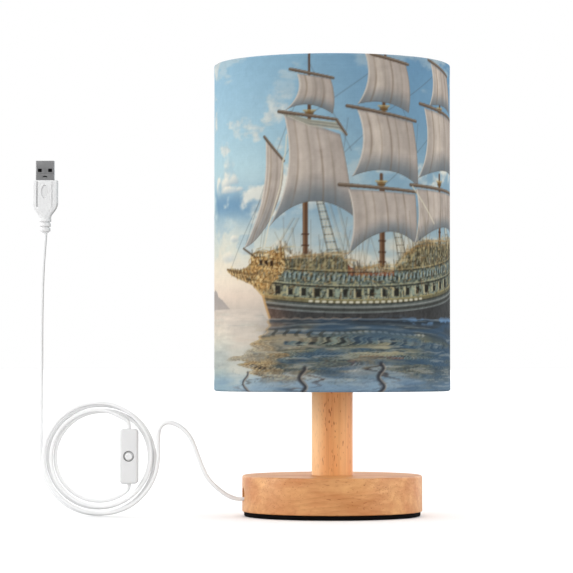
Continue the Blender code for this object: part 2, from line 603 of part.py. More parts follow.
def at_plug(z, x=0.0, y=0.0):
    """A place given from the plug's axis, at a height in the lamp's frame."""
    return (PLUG_X + x, PLUG_Y + y, z)


def rounded_section(width, depth, exponent, count=16):
    """A superellipse as (x, y) points, going round from +X."""
    points = []
    for k in range(count):
        angle = 2 * math.pi * k / count
        points.append([size / 2 * math.copysign(abs(part) ** exponent, part)
                       for size, part in ((width, math.cos(angle)), (depth, math.sin(angle)))])
    return points


def grip_mesh():
    sections = list(GRIP_SECTIONS)
    for k in range(3):
        start, diameter = 24.2 + 3.0 * k, 7.6 - 0.7 * k
        sections += [(diameter - less, diameter - less, 1.0, start + down)
                     for less, down in RIB_STATIONS]
    shape = bmesh.new()
    rows = [[shape.verts.new((x, y, GRIP_FACE_Z - GRIP_ORIGIN_Z - down))
             for x, y in rounded_section(width, depth, exponent)]
            for width, depth, exponent, down in sections]
    bridge(shape, rows)
    shape.faces.new(rows[0])
    shape.faces.new(list(reversed(rows[-1])))
    return finished(shape)


grip = add("usb_grip", grip_mesh(), "cable_white", at=at_plug(GRIP_ORIGIN_Z))
cut(grip,
    add_cutter("usb_pocket_cutter", block((USB_WIDTH + GAP, USB_DEPTH + GAP, 24.0)),
               at_plug(220.0)),
    add_cutter("usb_cable_cutter", cylinder(CABLE_RADIUS + GAP, 60.0, 16), at_plug(172.0)))

shell = add("usb_shell", block((USB_WIDTH, USB_DEPTH, USB_LENGTH), 0.5, 2, upright_only=True),
            "usb_steel", at=at_plug(USB_BOTTOM + USB_LENGTH / 2))
inside_size = (USB_WIDTH - 2 * USB_WALL, USB_DEPTH - 2 * USB_WALL, 40.0)
inside = add_cutter("usb_inside_cutter", block(inside_size, 0.25, upright_only=True),
                    at_plug(219.0))
windows = [add_cutter(f"usb_window_cutter_{k}", block((2.3, 12.0, 2.2)),
                      at_plug(USB_TIP_Z - 6.2, x=side * 3.3))
           for k, side in enumerate((-1, 1))]
cut(shell, inside, *windows)

add("usb_tongue", block((10.9, 1.8, 18.6)), "usb_black", at=at_plug(218.6, y=-0.95),
    sharp_angle=None)
for k in range(4):
    add(f"usb_contact_{k + 1}", block((1.05, 0.16, 8.6)), "gold",
        at=at_plug(222.2, x=(k - 1.5) * CONTACT_PITCH, y=0.1), sharp_angle=None)
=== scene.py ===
"""Bedside lamp with a printed drum shade, a wooden base and post, and a USB cable.

Shapes are written in millimetres. The lamp stands upright near z = 0 with its axis on z and its
front towards -Y. The cable leaves the base on the left (-X) and winds into a flat upright coil,
with the in-line switch inside it; the plug beyond the coil points up.
"""
import math

import bmesh
import bpy
import numpy as np
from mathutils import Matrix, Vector


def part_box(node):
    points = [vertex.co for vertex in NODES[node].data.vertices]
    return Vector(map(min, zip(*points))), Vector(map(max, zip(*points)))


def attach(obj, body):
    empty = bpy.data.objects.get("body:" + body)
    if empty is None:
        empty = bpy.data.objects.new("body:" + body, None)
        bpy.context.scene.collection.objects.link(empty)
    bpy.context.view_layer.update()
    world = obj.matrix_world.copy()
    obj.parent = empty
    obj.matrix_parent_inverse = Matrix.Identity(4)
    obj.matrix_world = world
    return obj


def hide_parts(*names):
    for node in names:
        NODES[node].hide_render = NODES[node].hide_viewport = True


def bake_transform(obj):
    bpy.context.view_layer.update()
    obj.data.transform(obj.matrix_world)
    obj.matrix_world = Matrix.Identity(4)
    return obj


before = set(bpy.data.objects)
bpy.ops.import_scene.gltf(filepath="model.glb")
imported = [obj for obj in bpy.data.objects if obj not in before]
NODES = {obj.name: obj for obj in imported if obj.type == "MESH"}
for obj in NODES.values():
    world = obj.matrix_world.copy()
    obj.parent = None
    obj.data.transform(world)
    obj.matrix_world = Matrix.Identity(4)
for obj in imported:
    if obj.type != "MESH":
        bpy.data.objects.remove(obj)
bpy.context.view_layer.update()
MM = 0.001


def extent(node):
    """The radius and the lowest and highest z of an upright frame piece, in millimetres."""
    low, high = (np.array(corner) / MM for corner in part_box(node))
    return (high[0] - low[0]) / 2, low[2], high[2]


# ---------------------------------------------------------------- places
BASE_R, BASE_Z0, BASE_Z1 = extent("base_disc")
PAD_R = extent("base_pad")[0]
POST_R, POST_Z0, POST_Z1 = extent("post")
SHADE_R, SHADE_Z0, SHADE_Z1 = extent("shade_fabric")
SHADE_H = SHADE_Z1 - SHADE_Z0
LINER_R, LINER_Z0, LINER_Z1 = extent("shade_liner")
COLLAR_R, COLLAR_Z0, COLLAR_Z1 = extent("spider_collar")
PLUG_FACE_Z, USB_TIP_Z = extent("usb_grip")[2], extent("usb_shell")[2]

CABLE_R = 1.2
CABLE_Y, CABLE_Z = -10.3, 11.1           # where it leaves the base, and the switch's middle plane
LAYER_FRONT, LAYER_BACK = -11.6, -9.0    # y of the coil's two layers
COIL_X, COIL_Z = -150.1, 37.65
SPLIT_X = -58.65                         # where the run inside the base meets the free run
SWITCH_X, SWITCH_Z = 19.6 + COIL_X, 0.9 + COIL_Z
SWITCH_W, SWITCH_L, SWITCH_T = 11.7, 35.5, 9.6
PLUG_X, PLUG_Y = -185.0, -9.0


def clamp(x):
    return np.clip(x, 0.0, 1.0)


def step(low, high, x):
    """Eases from 0 at low to 1 at high; low may be the greater."""
    t = clamp((x - low) / (high - low))
    return t * t * (3 - 2 * t)


def rgb(red, green, blue):
    return np.array((red, green, blue), float) / 255.0


def to_linear(srgb):
    return np.where(srgb <= 0.04045, srgb / 12.92, ((srgb + 0.055) / 1.055) ** 2.4)


def lin(red, green, blue):
    """An sRGB colour of 0 to 255 as linear light."""
    return to_linear(rgb(red, green, blue))


# ---------------------------------------------------------------- node materials
MATERIALS = {}


class Mat:
    """A node material with one Principled shader, and short ways to add nodes to it."""

    def __init__(self, name, base=(0.8, 0.8, 0.8), rough=0.5, metal=0.0, **more):
        MATERIALS[name] = material = bpy.data.materials.new(name)
        material.use_nodes = True
        self.tree = material.node_tree
        self.shader = self.tree.nodes["Principled BSDF"]
        self.coord = None
        self.set(Base_Color=base, Roughness=rough, Metallic=metal, **more)

    def feed(self, socket, value):
        """Links an output to a socket, or sets a plain value; colours gain their alpha."""
        if hasattr(value, "is_output"):
            self.tree.links.new(value, socket)
        else:
            socket.default_value = (*value, 1) if socket.type == "RGBA" else value

    def set(self, **values):
        for key, value in values.items():
            self.feed(self.shader.inputs[key.replace("_", " ")], value)

    def node(self, kind, inputs, out=0, **props):
        """Adds a node, with its inputs by name or index, and gives back one output."""
        node = self.tree.nodes.new(kind)
        for key, value in props.items():
            setattr(node, key, value)
        for key, value in inputs.items():
            self.feed(node.inputs[key], value)
        return node.outputs[out]

    def pos(self):
        if self.coord is None:
            self.coord = self.node("ShaderNodeTexCoord", {}, "Object")
        return self.coord

    def scaled(self, x=1, y=1, z=1, at=(0, 0, 0), of=None):
        of = self.pos() if of is None else of
        return self.node("ShaderNodeMapping", {"Vector": of, "Scale": (x, y, z), "Location": at})

    def split(self, vector):
        node = self.tree.nodes.new("ShaderNodeSeparateXYZ")
        self.feed(node.inputs[0], vector)
        return node.outputs

    def noise(self, vector, scale, detail=3.0, rough=0.5, distort=0.0, out="Fac"):
        inputs = {"Vector": vector, "Scale": scale, "Detail": detail, "Roughness": rough,
                  "Distortion": distort}
        return self.node("ShaderNodeTexNoise", inputs, out)

    def ramp(self, value, *stops):
        """A ramp of greys from (position, grey) stops."""
        node = self.tree.nodes.new("ShaderNodeValToRGB")
        elements = node.color_ramp.elements
        while len(elements) < len(stops):
            elements.new(0.5)
        for element, (position, grey) in zip(elements, stops):
            element.position = position
            element.color = (grey, grey, grey, 1)
        self.feed(node.inputs[0], value)
        return node.outputs[0]

    def rise(self, value, low, high):
        return self.ramp(value, (low, 0.0), (high, 1.0))

    def math(self, operation, first, second=0.0, third=0.0, clamped=False):
        inputs = {0: first, 1: second, 2: third}
        return self.node("ShaderNodeMath", inputs, operation=operation, use_clamp=clamped)

    def mul(self, first, second):
        return self.math("MULTIPLY", first, second)

    def add(self, first, second):
        return self.math("ADD", first, second)

    def mix(self, share, first, second):
        return self.node("ShaderNodeMix", {0: share, 6: first, 7: second}, 2, data_type="RGBA")

    def tint(self, colour, mask, strength, tone):
        return self.mix(self.mul(mask, strength), colour, tone)

    def facing(self):
        return self.node("ShaderNodeLayerWeight", {"Blend": 0.5}, "Facing")

    def turned_to(self, direction):
        """How far the surface looks along a direction."""
        normal = self.node("ShaderNodeNewGeometry", {}, "Normal")
        return self.node("ShaderNodeVectorMath", {0: normal, 1: direction}, "Value",
                         operation="DOT_PRODUCT")

    def bump(self, height, distance, strength):
        inputs = {"Height": height, "Distance": distance, "Strength": strength}
        self.set(Normal=self.node("ShaderNodeBump", inputs))


def wood(name, along, tones, seed, ring_centre, ring_scale, figure, dashes, drift, crowding,
         patch, wear_and_highlight=0.0, under=None):
    """Pale clear-finished wood: cloudy tone, curved rings, fine grain and short dark vessels.

    figure and dashes are the strengths of the rings and vessels, drift bends the rings, crowding
    gathers the vessels, patch is the clouds' scale along the grain, wear_and_highlight is a painted
    highlight that pales the left flank, and under (from height, to height, strength) is a painted
    shadow that deepens the tone upwards.
    """
    light, mid, dark = tones
    mat = Mat(name, rough=0.42)

    def grain(scale, share, at, **settings):
        """Noise with its own scale across the grain and a share of it along the grain."""
        long = share * scale
        scales = (long, scale, scale) if along == "x" else (scale, scale, long)
        return mat.noise(mat.scaled(*scales, at=at), 1.0, **settings)

    cloud = grain(70, patch, (seed, 1.3, 2.1), detail=5.0, rough=0.55, distort=0.5)
    blush = grain(110, patch, (seed * 2, 5.3, 0.1), detail=4.0, rough=0.55, distort=0.3)
    warp = grain(42, patch, (seed, 0, 0), distort=0.4, out="Color")
    bend = mat.node("ShaderNodeVectorMath", {0: warp, "Scale": drift}, operation="SCALE")
    bent = mat.node("ShaderNodeVectorMath", {0: mat.scaled(at=ring_centre), 1: bend},
                    operation="ADD")
    axes = mat.split(bent)
    squares = [mat.math("POWER", mat.math("ABSOLUTE", axes[i]), 2.0)
               for i in ((0, 1) if along == "z" else (1, 2))]
    radius = mat.math("SQRT", mat.add(*squares))
    rings = mat.math("FRACT", mat.mul(radius, ring_scale))
    rings = mat.ramp(rings, (0.0, 0.0), (0.55, 0.35), (0.88, 1.0), (1.0, 0.0))
    fine = grain(620, 0.022, (3.0, seed, 0), detail=4.0, rough=0.6)
    pores = grain(2300, 0.022, (seed, 5.0, 0), detail=2.0, rough=0.6)
    vessel = grain(1500, 260 / 1500, (seed, 0.4, 7.0), detail=0.0, rough=0.4)
    crowd = mat.rise(grain(120, patch, (1.0, seed, 4.0), detail=2.0), *crowding)
    marks = mat.rise(mat.add(vessel, mat.mul(crowd, 0.085)), 0.735, 0.80)

    colour = mat.mix(mat.rise(cloud, 0.34, 0.66), light, mid)
    colour = mat.tint(colour, mat.rise(blush, 0.45, 0.72), 0.45, mid * (1.06, 0.88, 0.84))
    colour = mat.tint(colour, rings, figure, dark)
    colour = mat.tint(colour, mat.rise(fine, 0.46, 0.74), 0.26, dark)
    colour = mat.tint(colour, mat.rise(pores, 0.52, 0.70), 0.10, dark)
    colour = mat.tint(colour, marks, dashes, dark * (0.80, 0.56, 0.42))
    # painted highlight: the left flank is paled, as if it caught the light
    if wear_and_highlight:
        lit_flank = mat.rise(mat.turned_to((-0.97, -0.24, 0.0)), 0.52, 0.88)
        colour = mat.tint(colour, lit_flank, wear_and_highlight, light * (1.0, 1.22, 1.55))
    # painted shadow of the lampshade: the tone deepens towards the top of the post
    if under:
        low, high, strength = under
        height = mat.mul(mat.split(mat.scaled())[2], 10.0)
        colour = mat.mix(mat.ramp(height, (low * 10, 0.0), (high * 10, strength)),
                         colour, dark * (0.60, 0.50, 0.42))
    # the lying wood loses its gloss where it is seen along its surface
    gloss = mat.ramp(mat.facing(), (0.86, 1.0), (0.95, 0.14)) if along == "x" else 1.0
    mat.set(Base_Color=colour, Roughness=mat.ramp(fine, (0.2, 0.38), (0.8, 0.54)),
            Specular_IOR_Level=mat.mul(gloss, 0.40), Coat_Weight=mat.mul(gloss, 0.16),
            Coat_Roughness=0.25)
    relief = mat.math("SUBTRACT", mat.mul(fine, 0.5), mat.mul(marks, 0.3))
    mat.bump(relief, distance=0.00008, strength=0.5)


def plastic(name, srgb, rough=0.42, grain=0.25, mottle=0.03, spec=0.5, edge_shade=0.0,
            turn=(0.04, 0.55), low=None, **more):
    """Moulded plastic: fine grain, slightly uneven gloss and tone.

    edge_shade is painted shade that greys it where it turns away from the eye, most towards the
    lower right; turn is the span of that turning, and low (from height, to height, share) weakens
    that painted shade lower down.
    """
    base = lin(*srgb)
    mat = Mat(name, base, rough, Specular_IOR_Level=spec, **more)
    fine = mat.noise(mat.scaled(), 2400.0, detail=2.0)
    slow = mat.noise(mat.scaled(at=(3, 1, 2)), 60.0)
    colour = mat.tint(base, slow, mottle * 4, base * 0.86)
    # painted shade: greyer where the surface turns from the eye, most towards the lower right
    if edge_shade:
        turned = mat.rise(mat.facing(), *turn)
        side = mat.turned_to((0.80, 0.0, -0.60))
        side = mat.math("MULTIPLY_ADD", side, 0.55, 0.45, clamped=True)
        if low:
            start, end, share = low
            height = mat.mul(mat.split(mat.pos())[2], 5.0)
            side = mat.mul(side, mat.ramp(height, (start * 5, share), (end * 5, 1.0)))
        colour = mat.tint(colour, mat.mul(turned, side), edge_shade, base * 0.24)
    mat.set(Base_Color=colour,
            Roughness=mat.ramp(slow, (0.25, rough - 0.06), (0.75, rough + 0.08)))
    mat.bump(fine, distance=0.00002, strength=grain)


def metal(name, srgb, rough, brushed=(1, 1, 0.02), tarnish=0.2):
    """Metal with fine streaks, short along the small axis of brushed, and darker patches."""
    base = lin(*srgb)
    mat = Mat(name, base, rough, 1.0)
    streak = mat.noise(mat.scaled(*(share * 2600 for share in brushed)), 1.0, detail=2.0)
    slow = mat.noise(mat.scaled(), 180.0, detail=4.0)
    mat.set(Base_Color=mat.tint(base, mat.rise(slow, 0.4, 0.75), tarnish, base * 0.6),
            Roughness=mat.ramp(streak, (0.3, rough * 0.75), (0.7, rough * 1.35)))
    mat.bump(streak, distance=0.000012, strength=0.35)


def foam_material():
    mat = Mat("foam_pad", lin(10, 10, 11), 0.95, Specular_IOR_Level=0.05)
    cells = mat.node("ShaderNodeTexVoronoi", {"Vector": mat.scaled(), "Scale": 1300.0}, "Distance")
    mat.set(Base_Color=mat.mix(mat.rise(cells, 0.1, 0.6), lin(5, 5, 5), lin(16, 15, 15)))
    mat.bump(cells, distance=0.00015, strength=0.6)


def board_material():
    mat = Mat("circuit_board", lin(22, 96, 52), 0.35)
    inputs = {"Vector": mat.scaled(700, 700, 700), "Scale": 0.8, "Mortar Size": 0.06}
    tracks = mat.node("ShaderNodeTexBrick", inputs, "Fac",
                      offset=0.37, squash=1.6, squash_frequency=3)
    mat.set(Base_Color=mat.mix(tracks, lin(20, 92, 50), lin(60, 138, 84)))
    mat.bump(tracks, distance=0.00003, strength=0.4)


def liner_material():
    mat = Mat("shade_liner", lin(238, 236, 228), 0.55, Specular_IOR_Level=0.4)
    fine = mat.noise(mat.scaled(), 900.0)
    slow = mat.noise(mat.scaled(8, 8, 2), 1.0)
    mat.set(Base_Color=mat.mix(slow, lin(240, 238, 231), lin(229, 227, 218)))
    mat.bump(fine, distance=0.00005, strength=0.4)


def paint_material():
    """White paint on the wires, with a few worn spots."""
    mat = Mat("wire_paint", lin(232, 231, 226), 0.4)
    fine = mat.noise(mat.scaled(), 1500.0, detail=2.0)
    chips = mat.noise(mat.scaled(at=(4, 2, 9)), 210.0, detail=4.0, rough=0.7)
    mat.set(Base_Color=mat.mix(mat.rise(chips, 0.70, 0.74),
                               lin(233, 232, 227), lin(168, 166, 160)))
    mat.bump(fine, distance=0.00003, strength=0.5)


def fabric_material():
    """Printed plain-weave cloth: the print as point colours, threads both ways and slubs."""
    mat = Mat("shade_print", rough=0.92, Specular_IOR_Level=0.05, Sheen_Weight=0.012,
              Sheen_Roughness=0.5)
    art = mat.node("ShaderNodeAttribute", {}, "Color", attribute_name="Print")
    flat = mat.node("ShaderNodeUVMap", {}, uv_map="OFBake")
    axes = mat.split(flat)
    warp, weft = (mat.math("SINE", mat.mul(axes[i], 2 * math.pi * count))
                  for i, count in ((0, 620.0), (1, 300.0)))
    weave = mat.mul(warp, weft)
    slubs = [mat.mul(mat.noise(mat.scaled(*scale, of=flat), 1.0, detail=2.0), 0.5)
             for scale in ((26, 420, 1), (900, 16, 1))]
    threads = mat.add(*slubs)
    tone = mat.math("MULTIPLY_ADD", mat.rise(threads, 0.3, 0.7), 0.13, 0.935)
    tone = mat.add(tone, mat.mul(weave, 0.03))
    mat.set(Base_Color=mat.mix(mat.add(tone, 0.0), (0.006, 0.006, 0.006), art))
    relief = mat.add(mat.mul(weave, 0.5), mat.mul(threads, 0.8))
    mat.bump(relief, distance=0.00012, strength=0.45)


def floor_material():
    """Pale studio paper; the light it gives back to the lamp is held down."""
    mat = Mat("studio_floor", (0.95, 0.95, 0.95), 0.9, Specular_IOR_Level=0.0)
    seen = mat.node("ShaderNodeLightPath", {}, "Is Camera Ray")
    slow = mat.noise(mat.scaled(), 6.0, detail=2.0)
    paper = mat.mix(slow, (0.955, 0.955, 0.955), (0.965, 0.965, 0.965))
    mat.set(Base_Color=mat.mix(seen, (0.70, 0.70, 0.70), paper))


# the post carries a painted highlight on its left flank and a painted shadow under the lampshade
wood("wood_post", "z", (lin(251, 192, 126), lin(238, 165, 101), lin(186, 108, 56)),
     seed=2.3, ring_centre=(0.034, 0.021, 0), ring_scale=210.0, figure=0.16, dashes=0.76,
     drift=0.016, crowding=(0.42, 0.72), patch=0.10, wear_and_highlight=0.58, under=(0.058, 0.081, 0.26))
wood("wood_base", "x", (lin(230, 174, 114), lin(197, 131, 75), lin(168, 98, 46)),
     seed=7.1, ring_centre=(0, 0.055, 0.032), ring_scale=150.0, figure=0.24, dashes=0.55,
     drift=0.044, crowding=(0.46, 0.78), patch=0.34)
# the cable, the switch case and the plug grip carry painted shade at their edges
plastic("cable_pvc", (248, 248, 248), rough=0.36, grain=0.15, mottle=0.01, edge_shade=1.0,
        turn=(0.02, 0.48), low=(0.080, 0.105, 0.42))
plastic("switch_abs", (231, 231, 231), rough=0.44, grain=0.35, edge_shade=0.4)
plastic("button_abs", (238, 238, 238), rough=0.32, grain=0.1)
plastic("holder_white", (236, 235, 230), rough=0.4, grain=0.2)
plastic("bulb_body", (240, 240, 238), rough=0.38, grain=0.1)
plastic("bulb_diffuser", (246, 245, 240), rough=0.5, grain=0.1, mottle=0.01,
        Subsurface_Weight=0.25, Subsurface_Radius=(0.004, 0.004, 0.004), Subsurface_Scale=1.0)
plastic("ceramic", (240, 238, 230), rough=0.22, grain=0.1)
plastic("black_plastic", (30, 30, 32), rough=0.45, grain=0.3)
plastic("tongue_black", (9, 9, 10), rough=0.7, grain=0.2, spec=0.1)
plastic("wire_red", (176, 34, 32), rough=0.4, grain=0.2)
plastic("plug_pvc", (229, 229, 229), rough=0.4, grain=0.2, edge_shade=0.85, turn=(0.12, 0.75))
metal("zinc_steel", (190, 190, 192), rough=0.34)
metal("nickel_shell", (143, 143, 144), rough=0.36, brushed=(0.02, 1, 1), tarnish=0.3)
metal("nickel_cap", (196, 196, 196), rough=0.24, brushed=(1, 1, 0.3))
metal("brass", (214, 178, 104), rough=0.3)
metal("gold_contact", (232, 196, 112), rough=0.22)
foam_material()
board_material()
liner_material()
paint_material()
fabric_material()
floor_material()


# ---------------------------------------------------------------- mesh helpers, in millimetres
def new_object(name, verts, faces):
    mesh = bpy.data.meshes.new(name)
    mesh.from_pydata([tuple(float(c) * MM for c in v) for v in verts], [], faces)
    mesh.update()
    obj = bpy.data.objects.new(name, mesh)
    bpy.context.scene.collection.objects.link(obj)
    return obj


def face_out(mesh, merge=False):
    """Turns the faces outwards, after merging equal points where asked."""
    bm = bmesh.new()
    bm.from_mesh(mesh)
    if merge:
        bmesh.ops.remove_doubles(bm, verts=bm.verts, dist=1e-7)
    bmesh.ops.recalc_face_normals(bm, faces=bm.faces)
    bm.to_mesh(mesh)
    bm.free()


def piece(name, verts, faces, mat, body=None, slot=None, replaces=(), uv=None, smooth=True,
          sharp=None, turn_out=True, merge=False):
    """A finished object, told to the frame; sharp is the angle in degrees that keeps an edge."""
    obj = new_object(name, verts, faces)
    mesh = obj.data
    if uv is not None:
        layer = mesh.uv_layers.new(name="OFBake")
        layer.data.foreach_set("uv", np.asarray(uv, np.float32).ravel())
    if smooth:
        mesh.shade_smooth()
        if sharp:
            mesh.set_sharp_from_angle(angle=math.radians(sharp))
    mesh.materials.append(MATERIALS[mat])
    if body:
        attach(obj, body)
    if replaces:
        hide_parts(*replaces)
    if turn_out:
        face_out(mesh, merge)
    return obj


def grid_faces(rows, cols, wrap_cols=True, wrap_rows=False):
    faces = []
    for j in range(rows if wrap_rows else rows - 1):
        up = (j + 1) % rows
        for i in range(cols if wrap_cols else cols - 1):
            right = (i + 1) % cols
            faces.append((j * cols + i, j * cols + right, up * cols + right, up * cols + i))
    return faces


def stack_faces(rows, cols):
    """A stack of rings, closed at both ends."""
    ends = [tuple(reversed(range(cols))), tuple(range((rows - 1) * cols, rows * cols))]
    return grid_faces(rows, cols) + ends


def lathe(name, profile, steps, mat, body, slot, replaces, sharp=35, wobble=None, place=None):
    """A closed (radius, height) outline spun about z.

    wobble(angle, radius, height) is added to the radius; place(x, y, z) moves each point.
    """
    verts, faces, rings = [], [], []
    for radius, z in profile:
        if radius < 1e-9:
            rings.append([len(verts)])
            verts.append((0.0, 0.0, z))
            continue
        rings.append(list(range(len(verts), len(verts) + steps)))
        for k in range(steps):
            angle = 2 * math.pi * k / steps
            r = radius + (wobble(angle, radius, z) if wobble else 0.0)
            verts.append((r * math.cos(angle), r * math.sin(angle), z))
    for low, high in zip(rings, rings[1:] + rings[:1]):
        if len(low) == 1 and len(high) == 1:
            continue
        for k in range(steps):
            q = (k + 1) % steps
            if len(low) == 1:
                faces.append((low[0], high[q], high[k]))
            elif len(high) == 1:
                faces.append((low[k], low[q], high[0]))
            else:
                faces.append((low[k], low[q], high[q], high[k]))
    if place:
        verts = [place(*vert) for vert in verts]
    return piece(name, verts, faces, mat, body, slot, replaces, sharp=sharp)


def arc(x, z, radius, start, end, count):
    """Points of a fillet about (x, z), from a start to an end angle in degrees."""
    angles = [math.radians(start + (end - start) * k / count) for k in range(count + 1)]
    return [(x + radius * math.cos(a), z + radius * math.sin(a)) for a in angles]


def smooth_path(knots, spacing):
    """Evenly spaced points on a Catmull-Rom curve through the knots."""
    knots = [Vector(k) for k in knots]
    ends = [2 * knots[0] - knots[1]] + knots + [2 * knots[-1] - knots[-2]]
    fine = []
    for a, b, c, d in zip(ends, ends[1:], ends[2:], ends[3:]):
        for i in range(12):
            t = i / 12
            fine.append(0.5 * ((2 * b) + (c - a) * t + (2 * a - 5 * b + 4 * c - d) * t * t
                               + (3 * b - a - 3 * c + d) * t ** 3))
    fine.append(knots[-1])
    length = [0.0]
    for a, b in zip(fine, fine[1:]):
        length.append(length[-1] + (b - a).length)
    count = max(2, round(length[-1] / spacing))
    out, j = [], 0
    for i in range(count + 1):
        want = length[-1] * i / count
        while j < len(length) - 2 and length[j + 1] < want:
            j += 1
        share = (want - length[j]) / max(length[j + 1] - length[j], 1e-9)
        out.append(fine[j].lerp(fine[j + 1], min(max(share, 0.0), 1.0)))
    return out


# small domes at a tube's ends: (reach past the end, size), both as shares of the radius
TUBE_DOME = ((0.30, 0.35), (0.22, 0.75), (0.10, 0.94))


def tube(name, path, radius, sides, mat, body, slot, replaces, fuller=None):
    """A round cable along a path with domed ends; fuller gives a factor on the radius at a point.

    Its unwrapped strip is laid out as rows of a page, so that a bake has room for it.
    """
    tangents = [(path[min(i + 1, len(path) - 1)] - path[max(i - 1, 0)]).normalized()
                for i in range(len(path))]
    up = Vector((0, 1, 0)) if abs(tangents[0].y) < 0.9 else Vector((1, 0, 0))
    side = tangents[0].cross(up).normalized()
    rings = []
    for point, tangent in zip(path, tangents):
        side = (side - tangent * side.dot(tangent)).normalized()
        size = fuller(point) if fuller else 1.0
        rings.append((point, tangent, side.copy(), tangent.cross(side), size))
    start, tangent, *frame_axes, _ = rings[0]
    rings[:0] = [(start - tangent * radius * reach, tangent, *frame_axes, size)
                 for reach, size in TUBE_DOME]
    end, tangent, *frame_axes, _ = rings[-1]
    rings += [(end + tangent * radius * reach, tangent, *frame_axes, size)
              for reach, size in reversed(TUBE_DOME)]
    verts = []
    for point, _, side, other, size in rings:
        for i in range(sides):
            a = 2 * math.pi * i / sides
            verts.append(point + (side * math.cos(a) + other * math.sin(a)) * radius * size)
    count = len(rings)
    faces = grid_faces(count, sides)
    rows = max(1, int(math.sqrt(count / sides)))
    per_row = math.ceil((count - 1) / rows)
    uv = []
    for j in range(count - 1):
        row, col = divmod(j, per_row)
        x0, x1 = col / per_row, (col + 1) / per_row
        for i in range(sides):
            y0, y1 = ((row + 0.06 + 0.88 * k / sides) / rows for k in (i, i + 1))
            uv += [(x0, y0), (x0, y1), (x1, y1), (x1, y0)]
    first, last = len(verts), len(verts) + 1
    verts += [rings[0][0] - rings[0][1] * radius * 0.04, rings[-1][0] + rings[-1][1] * radius * 0.04]
    faces += [(first, (i + 1) % sides, i) for i in range(sides)]
    ring = (count - 1) * sides
    faces += [(last, ring + i, ring + (i + 1) % sides) for i in range(sides)]
    uv += [(0, 0), (0.002, 0), (0.002, 0.002)] * (2 * sides)
    return piece(name, verts, faces, mat, body, slot, replaces, uv=uv)


def rounded_rect(width, depth, radius, count):
    radius = min(radius, width / 2 - 1e-3, depth / 2 - 1e-3)
    x, y = width / 2 - radius, depth / 2 - radius
    out = []
    per = count // 4
    for q, (cx, cy) in enumerate(((x, y), (-x, y), (-x, -y), (x, -y))):
        for k in range(per):
            a = math.radians(90 * q + 90 * k / (per - 1))
            out.append((cx + radius * math.cos(a), cy + radius * math.sin(a)))
    return out


def cutter(*rings):
    """A solid through rings of points, for boolean cuts."""
    verts = [point for ring in rings for point in ring]
    obj = new_object("cutter", verts, stack_faces(len(rings), len(rings[0])))
    face_out(obj.data)
    return obj


def rod_cutter(centre, direction, radius, length, count=48, flare=None):
    """A cylinder about a centre; flare (start, slope size) opens its far end as a countersink."""
    axis = Vector(direction).normalized()
    side = axis.cross(Vector((0, 0, 1)) if abs(axis.z) < 0.9 else Vector((1, 0, 0))).normalized()
    other = axis.cross(side)
    centre = Vector(centre)
    stations = [(-length / 2, radius), (length / 2, radius)]
    if flare:
        start, size = flare
        stations[1:] = [(start, radius), (start + 4 * size, radius + 4 * size)]
    angles = [2 * math.pi * k / count for k in range(count)]
    return cutter(*[[centre + axis * h + (side * math.cos(a) + other * math.sin(a)) * r
                     for a in angles] for h, r in stations])


def cut(obj, cutters):
    """Cuts and applies, so that what stays is one plain mesh."""
    for tool in cutters:
        mod = obj.modifiers.new("cut", "BOOLEAN")
        mod.operation, mod.object, mod.solver = "DIFFERENCE", tool, "EXACT"
    bpy.context.view_layer.update()
    evaluated = obj.evaluated_get(bpy.context.evaluated_depsgraph_get())
    done = bpy.data.meshes.new_from_object(evaluated)
    obj.modifiers.clear()
    obj.data = done
    done.shade_smooth()
    done.set_sharp_from_angle(angle=math.radians(32))
    for tool in cutters:
        bpy.data.objects.remove(tool)


# ---------------------------------------------------------------- base, pad, post
POST_BORE_R = 5.4
RECESS_R, RECESS_Z = 22.0, 17.0          # hollow under the base
SEAT_R, SEAT_Z = 13.65, 24.1             # hollow on top, where the post stands
HOLE_ANGLE, HOLE_R, HOLE_Z, HOLE_MID, HOLE_FLARE = 190.0, 4.5, 13.9, 40, 0.35


def build_base():
    outline = [(RECESS_R, BASE_Z0)] + arc(BASE_R - 0.9, BASE_Z0 + 0.9, 0.9, -90, 0, 6)
    outline += arc(BASE_R - 1.5, BASE_Z1 - 1.5, 1.5, 0, 90, 10)
    outline += [(SEAT_R, BASE_Z1), (SEAT_R, SEAT_Z), (POST_BORE_R, SEAT_Z),
                (POST_BORE_R, RECESS_Z), (RECESS_R, RECESS_Z)]
    base = lathe("base_wood", outline, 192, "wood_base", "lamp_stand", "beech", ["base_disc"],
                 sharp=28)
    angle = math.radians(HOLE_ANGLE)
    outwards = Vector((math.cos(angle), math.sin(angle), 0))
    cut(base, [rod_cutter(Vector((0, 0, HOLE_Z)) + outwards * HOLE_MID, outwards, HOLE_R, 60,
                          flare=(BASE_R - HOLE_MID - HOLE_FLARE, HOLE_FLARE))])


def pad_wobble(angle, radius, z):
    return 0.05 * math.sin(9 * angle) + 0.04 * math.sin(23 * angle + z) if radius > 50 else 0.0


build_base()
lathe("base_pad_foam", [(0.0, 0.0)] + arc(PAD_R - 0.5, 0.5, 0.5, -90, 0, 5) + [(PAD_R, 1.4)]
      + arc(PAD_R - 0.3, 2.2, 0.3, 0, 90, 3) + [(0.0, 2.5)], 160,
      "foam_pad", "lamp_stand", "black_foam", ["base_pad"], wobble=pad_wobble)
lathe("post_wood", [(POST_BORE_R, POST_Z0), (POST_R - 0.3, POST_Z0), (POST_R, POST_Z0 + 0.3)]
      + [(POST_R, POST_Z0 + (POST_Z1 - POST_Z0) * k / 12) for k in range(1, 12)]
      + arc(POST_R - 0.8, POST_Z1 - 0.8, 0.8, 0, 90, 5) + [(POST_BORE_R, POST_Z1)],
      112, "wood_post", "lamp_stand", "beech", ["post"], sharp=28)


